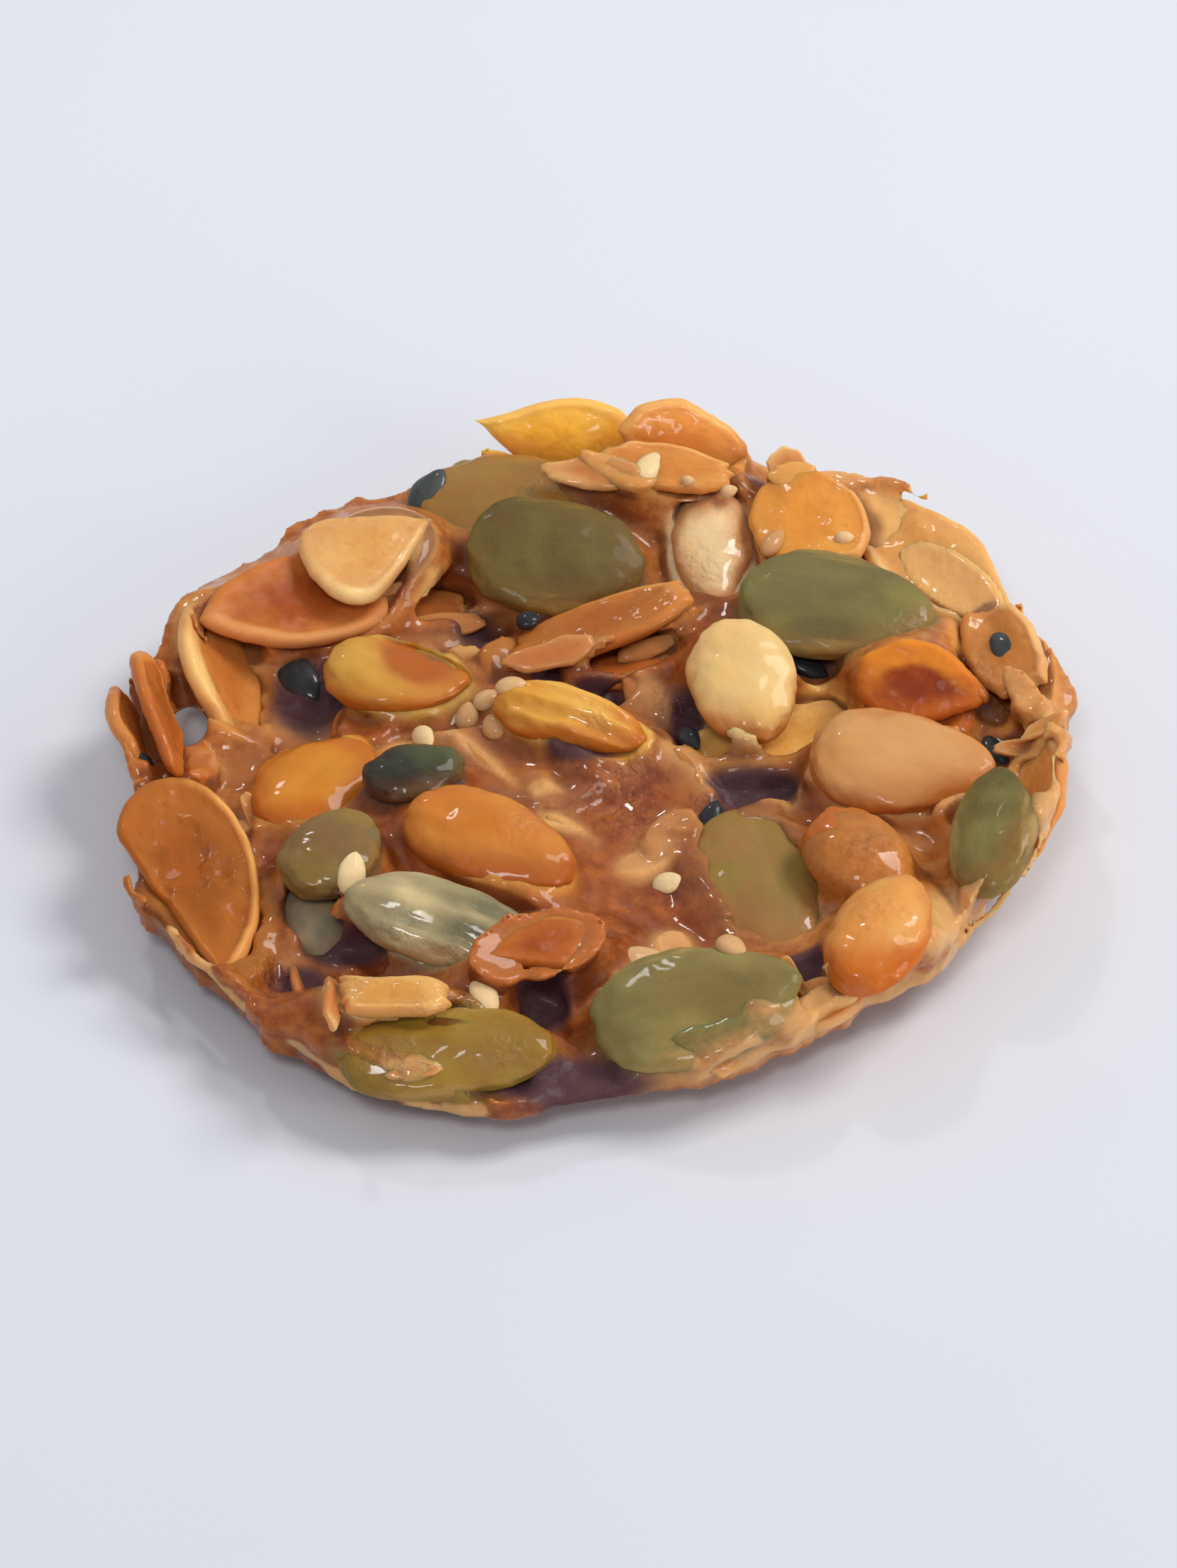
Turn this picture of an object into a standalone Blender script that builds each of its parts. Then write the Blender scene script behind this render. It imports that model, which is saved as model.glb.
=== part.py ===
# Florentine cookie: a thin dished round of set caramel that carries pumpkin
# seeds, melon kernels and almond flakes. Each topping is a solid of its own,
# bedded in a pocket of the caramel or lying on the pieces under it.
# Lengths below are in millimetres and become metres when a mesh is made.
# X is to the right, Y away from the front, Z up. The origin is at the middle
# of the flat underside's level, under the middle of the whole cookie's box.

import math
from collections import namedtuple

import bmesh
import bpy
import numpy as np
from mathutils import Matrix, Vector

for old_object in list(bpy.data.objects):
    bpy.data.objects.remove(old_object, do_unlink=True)

MM = 0.001
GAP = 0.3

# Caramel round: outline radius is a circle with a few slow waves
# (number of waves, height of the wave, angle of its crest in degrees).
CARAMEL_RADIUS = 29.4
OUTLINE_WAVES = (
    (1, 1.2, 85),
    (2, 1.6, 62),
    (3, 0.45, 24),
    (4, 0.6, -11),
    (9, 0.3, 5),
    (13, 0.25, 11),
)
FLAT_SHARE = 0.6
RIM_RISE = 3.0
RIM_RISE_SWING = 0.8
RIM_RISE_TOP = 60
CENTRE_THICKNESS = 3.0
RIM_THICKNESS = 1.0
RIM_ROUNDING = 0.12
RELIEF_HEIGHT = 0.15
RELIEF_WAVE = 9.0
CARAMEL_SEGMENTS = 44
CARAMEL_RINGS = 12

# The layout below is an oblique plan. A piece's place is where a line that
# falls SIGHT_ANGLE degrees towards the front, through the middle of the
# piece, meets the plane PLAN_LEVEL up. So a higher piece lies nearer the front.
SIGHT_ANGLE = 40
PLAN_LEVEL = 3.0

# Settling: height map cell, least wall left under a pocket, least height over
# the table outside the caramel, and the reach and costs of the seeded search
# for the place and tilt in which a topping lies low and true to the plan.
# A topping meets the height map as a grid of sample points.
CELL = 0.4
MAP_HALF = 44.0
POCKET_FLOOR = 0.6
TABLE_CLEARANCE = 1.0
SAMPLE_RINGS = 56
SAMPLE_SEGMENTS = 36
SEARCH_SEED = 7
SEARCH_TRIALS = 220
SEARCH_SPREADS = (1.0, 0.5, 0.2, 0.08)
SEARCH_MIDDLE = 5.0
SEARCH_REACH = 3.5
PLAN_SLACK = 1.2
TILT_REACH = 14.0
MISS_COST = 2.2
TILT_COST = 0.06
OVERHANG_COST = 6.0

# Kinds of topping. thickness is the full thickness, sink is how deep it beds,
# blunt and sharp are the powers that close the outline at its two ends,
# edge is the power of the cross-section, dish lifts the ends and sides.
Kind = namedtuple("Kind", "thickness sink blunt sharp edge dish rings segments")
KINDS = {
    "pumpkin_seed": Kind(2.6, 1.3, 0.46, 0.57, 0.85, 0.0, 8, 12),
    "melon_kernel": Kind(2.8, 1.4, 0.46, 0.63, 0.90, 0.0, 8, 12),
    "almond_flake": Kind(1.1, 0.8, 0.50, 0.58, 0.55, 0.7, 7, 10),
}

# Full thickness is reached where the outline is this wide, thinning to the
# ends with this power. DISH_LEVEL keeps a dished flake about its own middle.
THICK_FROM = 1 / 1.6
THIN_POWER = 0.7
DISH_LEVEL = 0.6

# Toppings in the order in which they are laid, lowest first.
# Heading is the compass of the sharp end, counter-clockwise from X.
# Lean is how far the face turns from level, and towards is the compass it
# turns to: -90 is the front.
Topping = namedtuple("Topping", "kind x y length width heading lean towards")
FLAKE = "almond_flake"
SEED = "pumpkin_seed"
KERNEL = "melon_kernel"
TOPPINGS = (
    # far rim
    Topping(FLAKE, -2.0, 34.9, 10.6, 6.0, -12, 60, -90),
    Topping(FLAKE, 5.9, 34.2, 9.0, 5.8, -8, 56, -90),
    Topping(SEED, -5.0, 28.2, 11.8, 7.4, 5, 12, -90),
    Topping(KERNEL, 7.9, 23.5, 9.8, 5.2, -86, 12, -90),
    Topping(FLAKE, 4.8, 31.6, 10.6, 4.2, -6, 14, -90),
    Topping(FLAKE, 22.3, 21.6, 16.5, 6.8, -52, 22, -145),
    Topping(FLAKE, 14.2, 25.7, 9.8, 8.0, -72, 12, -120),
    # left rim
    Topping(FLAKE, -29.9, 5.4, 8.0, 4.0, -80, 62, 10),
    Topping(FLAKE, -27.9, 6.6, 11.5, 5.0, -72, 62, 15),
    Topping(FLAKE, -23.4, 10.8, 12.5, 6.6, -75, 42, 0),
    # middle, lower layer
    Topping(FLAKE, -14.2, 6.2, 6.6, 3.8, 60, 8, -60),
    Topping(SEED, -16.8, -13.0, 7.5, 4.8, -80, 8, -90),
    Topping(KERNEL, -17.2, -0.2, 9.4, 7.2, 50, 4, -90),
    Topping(SEED, -15.8, -6.6, 7.2, 5.8, 60, 4, -90),
    Topping(SEED, -8.8, -13.4, 12.4, 6.4, -12, 8, -80),
    Topping(SEED, 10.7, -10.0, 12.8, 8.2, -75, 4, -90),
    Topping(FLAKE, -10.6, 17.3, 8.5, 4.8, 0, 8, -90),
    Topping(FLAKE, -4.2, 0.8, 9.0, 5.6, -30, 6, -60),
    Topping(SEED, -10.9, 1.0, 6.6, 4.6, 20, 6, -90),
    Topping(FLAKE, 12.0, 4.7, 12.0, 6.2, 20, 6, -90),
    Topping(FLAKE, 2.0, 11.4, 9.0, 4.4, 12, 8, 90),
    Topping(FLAKE, 25.3, 8.0, 7.5, 4.5, -60, 15, -150),
    Topping(KERNEL, 16.6, -7.0, 7.0, 5.8, -40, 4, -90),
    Topping(KERNEL, -12.0, 10.8, 9.2, 6.2, -5, 8, -90),
    Topping(FLAKE, -23.9, -9.0, 18.4, 8.8, 106, 6, -40),
    # right rim
    Topping(FLAKE, 28.6, -1.2, 12.5, 4.8, 85, 58, -175),
    Topping(FLAKE, 26.4, 12.8, 12.0, 5.6, -72, 28, -170),
    Topping(FLAKE, 15.4, -21.6, 7.8, 3.8, 26, 12, -90),
    Topping(KERNEL, 17.7, -14.0, 9.8, 6.4, 65, 12, -120),
    Topping(SEED, 25.0, -4.6, 10.6, 5.8, 85, 22, -170),
    # front rim
    Topping(SEED, -8.6, -25.3, 13.2, 6.6, 3, 18, -90),
    Topping(SEED, 6.3, -21.0, 12.8, 8.2, 12, 15, -90),
    Topping(FLAKE, -12.0, -19.8, 8.4, 3.6, -3, 8, -90),
    # upper layer, back to front
    Topping(SEED, -2.0, 22.4, 11.8, 8.5, -3, 22, -90),
    Topping(SEED, 15.7, 17.4, 12.8, 8.2, -8, 16, -90),
    Topping(FLAKE, -18.0, 18.2, 15.0, 7.2, 22, 16, -70),
    Topping(FLAKE, -13.8, 23.6, 10.0, 7.0, 35, 18, -70),
    Topping(FLAKE, 0.8, 15.8, 16.0, 5.2, 22, 10, 90),
    Topping(FLAKE, 20.8, 9.4, 8.5, 6.2, -15, 42, -95),
    Topping(KERNEL, 9.8, 9.8, 8.8, 7.0, -72, 12, -90),
    Topping(KERNEL, -1.0, 6.3, 10.2, 4.4, -20, 16, -90),
    Topping(KERNEL, 19.5, 2.0, 11.8, 8.0, -4, 10, -90),
    Topping(KERNEL, -6.0, -5.6, 11.6, 6.6, -28, 12, -100),
    Topping(FLAKE, -3.2, -15.8, 9.0, 4.8, 28, 16, -60),
)

# Finish of each kind: 8-bit sRGB colour and roughness.
FINISHES = {
    "caramel": ((160, 96, 56), 0.2),
    "pumpkin_seed": ((112, 104, 62), 0.3),
    "melon_kernel": ((212, 158, 92), 0.35),
    "almond_flake": ((190, 118, 56), 0.3),
}


def outline_radius(angle):
    """Radius of the caramel's edge at an angle in radians."""
    radius = CARAMEL_RADIUS + 0.0 * angle
    for count, height, crest in OUTLINE_WAVES:
        radius = radius + height * np.cos(count * (angle - math.radians(crest)))
    return radius


def caramel_heights(share, angle):
    """Underside and top of the caramel at a share of the radius."""
    rise = RIM_RISE + RIM_RISE_SWING * np.cos(angle - math.radians(RIM_RISE_TOP))
    outward = np.clip((share - FLAT_SHARE) / (1 - FLAT_SHARE), 0.0, 1.0)
    underside = rise * outward ** 2
    thickness = CENTRE_THICKNESS - (CENTRE_THICKNESS - RIM_THICKNESS) * share ** 3
    x = share * outline_radius(angle) * np.cos(angle)
    y = share * outline_radius(angle) * np.sin(angle)
    wave = 2 * math.pi / RELIEF_WAVE
    relief = RELIEF_HEIGHT * np.sin(wave * x + 1) * np.cos(wave * y) * (1 - share ** 4)
    return underside, underside + thickness + relief


def caramel_point(unit):
    """A unit sphere point becomes a point of the caramel round."""
    angle = math.atan2(unit.y, unit.x)
    share = math.atan2(math.hypot(unit.x, unit.y), abs(unit.z)) / (math.pi / 2)
    underside, top = caramel_heights(np.array(share), np.array(angle))
    outward = max(0.0, (share - 1 + RIM_ROUNDING) / RIM_ROUNDING)
    opening = math.sqrt(max(0.0, 1 - outward ** 2))
    middle = (underside + top) / 2
    height = middle + math.copysign(opening, unit.z) * (top - underside) / 2
    radius = share * float(outline_radius(np.array(angle)))
    return Vector((radius * math.cos(angle), radius * math.sin(angle), float(height)))


def topping_points(kind, length, width, thickness, units):
    """Unit sphere points, poles on X, become points of a seed or a flake.

    The outline closes as (1 + s)^blunt (1 - s)^sharp along the length, its
    widest place scaled to the width. The section is an oval with a fuller
    edge, and a flake is dished along and across.
    """
    along = np.clip(units[:, 0], -1.0, 1.0)
    around = np.arctan2(units[:, 2], units[:, 1])
    widest = (kind.blunt - kind.sharp) / (kind.blunt + kind.sharp)
    peak = (1 + widest) ** kind.blunt * (1 - widest) ** kind.sharp
    outline = (1 + along) ** kind.blunt * (1 - along) ** kind.sharp / peak
    side = np.cos(around)
    up = np.sin(around)
    fuller = np.sign(up) * np.abs(up) ** kind.edge
    x = along * length / 2
    y = outline * side * width / 2
    closing = np.clip(outline / THICK_FROM, 0.0, 1.0) ** THIN_POWER
    z = closing * fuller * thickness / 2
    z = z + kind.dish * (along ** 2 + (outline * side) ** 2 - DISH_LEVEL)
    return np.stack([x, y, z], axis=1)


def sphere_grid(rings, segments):
    """Points of a unit sphere with its poles on X, for the height map."""
    polar = np.linspace(0, math.pi, rings)
    turn = np.linspace(0, 2 * math.pi, segments, endpoint=False)
    polar, turn = [grid.ravel() for grid in np.meshgrid(polar, turn)]
    sides = np.sin(polar)
    return np.stack([np.cos(polar), sides * np.cos(turn), sides * np.sin(turn)], axis=1)


def turn_matrix(heading, lean, towards):
    """Heading about Z, then a lean of the face towards a compass direction."""
    compass = math.radians(towards)
    axis = Vector((-math.sin(compass), math.cos(compass), 0))
    leaning = Matrix.Rotation(math.radians(lean), 3, axis)
    return leaning @ Matrix.Rotation(math.radians(heading), 3, "Z")


class HeightMap:
    """Top of the caramel and of the toppings laid so far, cell by cell."""

    def __init__(self):
        self.count = int(2 * MAP_HALF / CELL)
        centres = (np.arange(self.count) + 0.5) * CELL - MAP_HALF
        x, y = np.meshgrid(centres, centres, indexing="ij")
        angle = np.arctan2(y, x)
        share = np.hypot(x, y) / outline_radius(angle)
        self.inside = share < 1
        self.underside, self.top = caramel_heights(np.minimum(share, 1.0), angle)
        self.pile = np.full(x.shape, -1.0)

    def cells(self, points):
        index = ((points[:, :2] + MAP_HALF) / CELL).astype(int)
        return np.clip(index, 1, self.count - 2)

    def floor(self, sink):
        """Lowest height a topping may reach, widened by a cell each way."""
        bed = np.maximum(self.top - sink, self.underside + POCKET_FLOOR + GAP)
        level = np.maximum(np.where(self.inside, bed, TABLE_CLEARANCE), self.pile + GAP)
        wide = level.copy()
        for shift_x in (-1, 0, 1):
            for shift_y in (-1, 0, 1):
                wide = np.maximum(wide, np.roll(level, (shift_x, shift_y), axis=(0, 1)))
        return wide

    def rest_height(self, points, floor):
        cells = self.cells(points)
        return float(np.max(floor[cells[:, 0], cells[:, 1]] - points[:, 2]))

    def add(self, points):
        cells = self.cells(points)
        np.maximum.at(self.pile, (cells[:, 0], cells[:, 1]), points[:, 2])

    def beds(self, points):
        """Whether a topping comes close enough to the caramel to need a pocket."""
        cells = self.cells(points)
        near = points[:, 2] - 2 * GAP < self.top[cells[:, 0], cells[:, 1]]
        return bool(np.any(near & self.inside[cells[:, 0], cells[:, 1]]))


def settle(topping, height_map, samples, chooser):
    """Place and turn of a topping once it lies on what is under it.

    Trial places are spread over the ground under the topping's place in the
    plan, each with a small extra tilt, first widely and then round the best
    one. The trial that lies lowest and nearest to its place in the plan wins.
    """
    kind = KINDS[topping.kind]
    shape = topping_points(kind, topping.length, topping.width, kind.thickness, samples)
    floor = height_map.floor(kind.sink)
    slope = 1 / math.tan(math.radians(SIGHT_ANGLE))
    plan = np.array((topping.x, topping.y))
    best = (math.inf, plan, np.zeros(2), None)
    for spread in SEARCH_SPREADS:
        trials = chooser.uniform(-1, 1, (SEARCH_TRIALS, 4))
        centre, tilt = best[1], best[2]
        for side, depth, nod, sway in trials:
            if best[3] is None or spread == SEARCH_SPREADS[0]:
                guess = SEARCH_MIDDLE + depth * SEARCH_REACH
                ground = plan + (side * PLAN_SLACK, slope * (PLAN_LEVEL - guess))
                extra = np.array((nod, sway)) * TILT_REACH
            else:
                ground = centre + np.array((side, depth)) * spread * PLAN_SLACK
                extra = tilt + np.array((nod, sway)) * spread * TILT_REACH
                extra = np.clip(extra, -TILT_REACH, TILT_REACH)
            turn = turn_matrix(topping.heading, topping.lean + extra[0], topping.towards)
            turn = turn @ Matrix.Rotation(math.radians(extra[1]), 3, "Y")
            turned = shape @ np.array(turn).T + np.array((*ground, 0.0))
            height = height_map.rest_height(turned, floor)
            shown = ground + (0.0, slope * (height - PLAN_LEVEL))
            miss = float(np.hypot(*(shown - plan)))
            reach = math.atan2(ground[1], ground[0])
            overhang = max(0.0, math.hypot(*ground) - float(outline_radius(np.array(reach))))
            cost = height + MISS_COST * miss + OVERHANG_COST * overhang
            cost += TILT_COST * float(np.abs(extra).sum())
            if cost < best[0]:
                best = (cost, ground, extra, (turn, turned + (0.0, 0.0, height), height, miss))
    turn, points, height, miss = best[3]
    return (*best[1], height), turn, points, miss


def finish_material(kind):
    """Principled material with the kind's colour and roughness."""
    colour, roughness = FINISHES[kind]
    material = bpy.data.materials.new(kind)
    material.use_nodes = True
    shader = material.node_tree.nodes["Principled BSDF"]
    linear = [((channel / 255 + 0.055) / 1.055) ** 2.4 for channel in colour]
    shader.inputs["Base Color"].default_value = (*linear, 1)
    shader.inputs["Roughness"].default_value = roughness
    shader.inputs["Metallic"].default_value = 0.0
    return material


def new_object(name, form, collection, material=None):
    """Turns a bmesh into a smooth-shaded object in a collection."""
    mesh = bpy.data.meshes.new(name)
    form.to_mesh(mesh)
    form.free()
    mesh.shade_smooth()
    if material:
        mesh.materials.append(material)
    result = bpy.data.objects.new(name, mesh)
    collection.objects.link(result)
    return result


def topping_object(name, topping, growth, collection, material=None):
    """A topping as a reshaped sphere, larger by growth on every side."""
    kind = KINDS[topping.kind]
    form = bmesh.new()
    bmesh.ops.create_uvsphere(form, u_segments=kind.segments, v_segments=kind.rings, radius=1)
    bmesh.ops.rotate(form, verts=form.verts, matrix=Matrix.Rotation(math.pi / 2, 3, "Y"))
    units = np.array([vert.co for vert in form.verts])
    sizes = [size + 2 * growth for size in (topping.length, topping.width, kind.thickness)]
    for vert, point in zip(form.verts, topping_points(kind, *sizes, units)):
        vert.co = Vector(point) * MM
    return new_object(name, form, collection, material)


def caramel_object(collection, material):
    """The caramel round as a reshaped sphere with its poles on Z."""
    form = bmesh.new()
    bmesh.ops.create_uvsphere(form, u_segments=CARAMEL_SEGMENTS, v_segments=CARAMEL_RINGS, radius=1)
    for vert in form.verts:
        vert.co = caramel_point(vert.co) * MM
    return new_object("caramel", form, collection, material)


def new_collection(name):
    collection = bpy.data.collections.new(name)
    bpy.context.scene.collection.children.link(collection)
    return collection


def build():
    cookie = new_collection("florentine_cookie")
    cutters = new_collection("pocket_cutters")
    materials = {kind: finish_material(kind) for kind in FINISHES}
    centre = bpy.data.objects.new("cookie_centre", None)
    cookie.objects.link(centre)

    caramel = caramel_object(cookie, materials["caramel"])
    caramel.parent = centre
    height_map = HeightMap()
    samples = sphere_grid(SAMPLE_RINGS, SAMPLE_SEGMENTS)
    chooser = np.random.default_rng(SEARCH_SEED)
    counts = {kind: 0 for kind in KINDS}
    low = np.array([vert.co for vert in caramel.data.vertices]).min(axis=0) / MM
    high = np.array([vert.co for vert in caramel.data.vertices]).max(axis=0) / MM

    for topping in TOPPINGS:
        counts[topping.kind] += 1
        name = f"{topping.kind}_{counts[topping.kind]:02d}"
        place, turn, points, miss = settle(topping, height_map, samples, chooser)
        print(f"{name}: height {place[2]:.1f} mm, {miss:.1f} mm from its place in the plan")
        placement = Matrix.Translation(Vector(place) * MM) @ turn.to_4x4()
        piece = topping_object(name, topping, 0.0, cookie, materials[topping.kind])
        piece.parent = centre
        piece.matrix_basis = placement
        if height_map.beds(points):
            cutter = topping_object(f"pocket_{name}", topping, GAP, cutters)
            cutter.parent = centre
            cutter.matrix_basis = placement
            cutter.hide_render = True
            cutter.display_type = "WIRE"
        height_map.add(points)
        low = np.minimum(low, points.min(axis=0))
        high = np.maximum(high, points.max(axis=0))

    pockets = caramel.modifiers.new("pockets", "BOOLEAN")
    pockets.operation = "DIFFERENCE"
    pockets.operand_type = "COLLECTION"
    pockets.collection = cutters
    pockets.solver = "EXACT"

    middle = (low + high) / 2
    centre.location = Vector((-middle[0], -middle[1], 0)) * MM


build()
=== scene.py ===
import math

import bpy
import numpy as np
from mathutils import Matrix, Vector


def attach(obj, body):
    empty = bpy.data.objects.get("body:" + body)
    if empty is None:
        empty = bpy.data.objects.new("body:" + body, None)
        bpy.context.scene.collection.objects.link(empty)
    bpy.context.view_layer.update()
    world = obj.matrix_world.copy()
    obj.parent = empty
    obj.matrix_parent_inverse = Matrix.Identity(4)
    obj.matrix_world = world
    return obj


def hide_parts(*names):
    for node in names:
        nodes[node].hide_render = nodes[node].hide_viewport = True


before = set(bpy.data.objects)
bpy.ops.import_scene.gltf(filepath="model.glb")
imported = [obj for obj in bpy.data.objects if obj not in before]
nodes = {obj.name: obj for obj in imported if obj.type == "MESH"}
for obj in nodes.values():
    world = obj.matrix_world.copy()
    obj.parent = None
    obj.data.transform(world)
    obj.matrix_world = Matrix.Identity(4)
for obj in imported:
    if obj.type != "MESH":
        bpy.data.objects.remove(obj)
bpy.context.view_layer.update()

# All shapes are worked out in millimetres and become metres in makePiece.
mm = 0.001
print("frame loaded:", len(nodes), "nodes")

# Places of small things are given as seen from the front, forty degrees up, on
# a level plane; a thing slides along that line of sight until it meets the cookie.
sight = dict(angle=40.0, level=3.0, shiftX=0.2, shiftY=-0.9, step=0.08, reach=14.0, returns=8)
cameraView = dict(distance=615.0, lens=225.0)


def smoothShare(value, low, high):
    # 0 below low, 1 above high, 3t^2 - 2t^3 between
    share = np.clip((value - low) / (high - low), 0.0, 1.0)
    return share * share * (3 - 2 * share)


def latticeNoise(points, grain, seed):
    # corner values of a lattice with that grain in mm, blended by smooth steps; -1 to 1
    table = np.random.default_rng(seed).uniform(-1, 1, 4096)
    scaled = np.asarray(points, float) / grain
    base = np.floor(scaled).astype(np.int64)
    share = scaled - base
    share = share * share * (3 - 2 * share)
    total = 0.0
    for corner in range(8):
        step = np.array((corner & 1, corner >> 1 & 1, corner >> 2 & 1))
        place = base + step
        code = place[..., 0] * 73856093 ^ place[..., 1] * 19349663 ^ place[..., 2] * 83492791
        weight = np.prod(np.where(step == 1, share, 1 - share), axis=-1)
        total = total + weight * table[code & 4095]
    return total


def roughNoise(points, grain, seed, octaves=3):
    # noise plus finer noise at half the grain and half the height each time
    total = 0.0
    for octave in range(octaves):
        total = total + latticeNoise(points, grain / 2 ** octave, seed + octave) / 2 ** octave
    return total


def unit(vector):
    vector = np.asarray(vector, float)
    return vector / np.linalg.norm(vector)


def cornerDistance(a, b):
    # distance to the region where both a and b are below zero
    return np.hypot(np.maximum(a, 0), np.maximum(b, 0)) + np.minimum(np.maximum(a, b), 0)


def smoothUnion(a, b, blend):
    # the lower of two distances, lowered by a parabola where they are alike
    near = np.maximum(blend - np.abs(a - b), 0) / blend
    return np.minimum(a, b) - near * near * blend / 4


def carve(solid, hole, blend):
    # the solid without the hole; the edge between them is rounded
    return -smoothUnion(-solid, hole, blend)


def makePiece(name, points, faces, masks=None, colours=None, vectors=None):
    # one mesh object at the origin, from points in mm and triangles or quads
    mesh = bpy.data.meshes.new(name)
    corners = faces.shape[1]
    mesh.vertices.add(len(points))
    mesh.vertices.foreach_set("co", (points * mm).astype(np.float32).ravel())
    mesh.loops.add(faces.size)
    mesh.loops.foreach_set("vertex_index", faces.astype(np.int32).ravel())
    mesh.polygons.add(len(faces))
    mesh.polygons.foreach_set("loop_start", np.arange(0, faces.size, corners, dtype=np.int32))
    mesh.update(calc_edges=True)
    mesh.shade_smooth()
    for key, values in (masks or {}).items():
        layer = mesh.attributes.new(key, "FLOAT", "POINT")
        layer.data.foreach_set("value", np.asarray(values, np.float32).ravel())
    for key, values in (colours or {}).items():
        layer = mesh.attributes.new(key, "FLOAT_COLOR", "POINT")
        layer.data.foreach_set("color", np.asarray(values, np.float32).ravel())
    for key, values in (vectors or {}).items():
        layer = mesh.attributes.new(key, "FLOAT_VECTOR", "POINT")
        layer.data.foreach_set("vector", np.asarray(values, np.float32).ravel())
    piece = bpy.data.objects.new(name, mesh)
    bpy.context.scene.collection.objects.link(piece)
    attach(piece, "root")
    return piece


def skinFaces(rings, columns):
    # triangles of a closed skin: a pole, rings of columns points, a pole
    column = np.arange(columns)
    beside = (column + 1) % columns
    last = 1 + rings * columns
    first = np.stack([np.zeros(columns, int), 1 + column, 1 + beside], 1)
    ring = np.arange(rings - 1)[:, None] * columns + 1
    low, lowBeside = ring + column, ring + beside
    high, highBeside = low + columns, lowBeside + columns
    sides = np.concatenate([np.stack([low, high, highBeside], -1).reshape(-1, 3),
                            np.stack([low, highBeside, lowBeside], -1).reshape(-1, 3)])
    tail = last - columns
    end = np.stack([np.full(columns, last), tail + beside, tail + column], 1)
    return np.concatenate([first, sides, end])


def closeSkin(grid):
    # the points of a grid whose first and last rows are each one pole
    return np.concatenate([grid[:1, 0], grid[1:-1].reshape(-1, *grid.shape[2:]), grid[-1:, 0]])


def faceOutward(points, faces):
    # the signed volume is the sum of the triangles' boxes; a negative one is turned over
    a, b, c = (points[faces[:, corner]] for corner in range(3))
    volume = np.einsum("ij,ij->i", a, np.cross(b, c)).sum()
    return faces if volume > 0 else faces[:, ::-1]


def linearColour(red, green, blue):
    return tuple(((channel / 255 + 0.055) / 1.055) ** 2.4 for channel in (red, green, blue))


def glazedColour(red, green, blue):
    # the colour under a glaze, which itself adds a little white
    return tuple(max(channel * 1.02 - 0.006, 0.002) for channel in linearColour(red, green, blue))


def poseOf(name):
    # measured on the CAD node: axes from the area-weighted spread of the triangles,
    # with the sharp tip on the lighter side; the bend is a least-squares fit of
    # height = level + dish (s^2 + t^2)
    mesh = nodes[name].data
    points = np.empty(len(mesh.vertices) * 3)
    mesh.vertices.foreach_get("co", points)
    points = points.reshape(-1, 3) / mm
    mesh.calc_loop_triangles()
    corners = np.empty(len(mesh.loop_triangles) * 3, np.int32)
    mesh.loop_triangles.foreach_get("vertices", corners)
    triangles = points[corners.reshape(-1, 3)]
    sides = triangles[:, 1:] - triangles[:, :1]
    area = np.linalg.norm(np.cross(sides[:, 0], sides[:, 1]), axis=1)
    middles = triangles.mean(axis=1)
    centre = (middles * area[:, None]).sum(0) / area.sum()
    spread = ((middles - centre) * area[:, None]).T @ (middles - centre)
    normal, wide, long = np.linalg.eigh(spread)[1].T
    normal = normal * (1 if normal[2] > 0 else -1)
    reach = (points - centre) @ long
    if (reach.max() + reach.min()) < 0:
        long = -long
    wide = np.cross(normal, long)
    axes = np.stack([long, wide, normal])
    local = (points - centre) @ axes.T
    low, high = local.min(0), local.max(0)
    middle = (low + high) / 2
    size = high - low
    s = (local[:, 0] - middle[0]) / (size[0] / 2)
    t = (local[:, 1] - middle[1]) / (size[1] / 2)
    bend = np.stack([np.ones_like(s), s * s + t * t], 1)
    level, dish = np.linalg.lstsq(bend, local[:, 2], rcond=None)[0]
    centre = centre + middle[0] * axes[0] + middle[1] * axes[1]
    return dict(centre=centre, axes=axes, length=size[0], width=size[1], level=level, dish=dish)


kinds = dict(
    pumpkin_seed=dict(slot="pumpkin_seed", thickness=2.6, blunt=0.46, sharp=0.57, edge=0.85, taper=0.55),
    melon_kernel=dict(slot="melon_kernel", thickness=2.8, blunt=0.46, sharp=0.63, edge=0.95, taper=0.6),
    almond_flake=dict(slot="almond_flake", thickness=1.1, blunt=0.50, sharp=0.58),
)
poses = {}
for nodeName in sorted(nodes):
    if nodeName != "caramel":
        kindName = nodeName[:-3]
        poses[nodeName] = dict(poseOf(nodeName), kind=kindName, thickness=kinds[kindName]["thickness"])
        if kindName != "almond_flake":
            poses[nodeName].update(dish=0.0, level=0.0)

# this kernel shows more of its face than its solid does, so it is tipped to the front
tipped = math.radians(26)
tipping = np.array(((1, 0, 0),
                    (0, math.cos(tipped), math.sin(tipped)),
                    (0, -math.sin(tipped), math.cos(tipped))))
poses["melon_kernel_01"]["axes"] = poses["melon_kernel_01"]["axes"] @ tipping
print("poses measured:", len(poses))


def toPlace(pose, local):
    return pose["centre"] + local @ pose["axes"]


def toLocal(pose, points):
    return (points - pose["centre"]) @ pose["axes"].T


def planShare(pose, points):
    # a topping's own coordinates, and how far out they lie: 1 on its oval outline
    local = toLocal(pose, points)
    return local, np.hypot(local[..., 0] / pose["length"], local[..., 1] / pose["width"]) * 2


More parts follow.
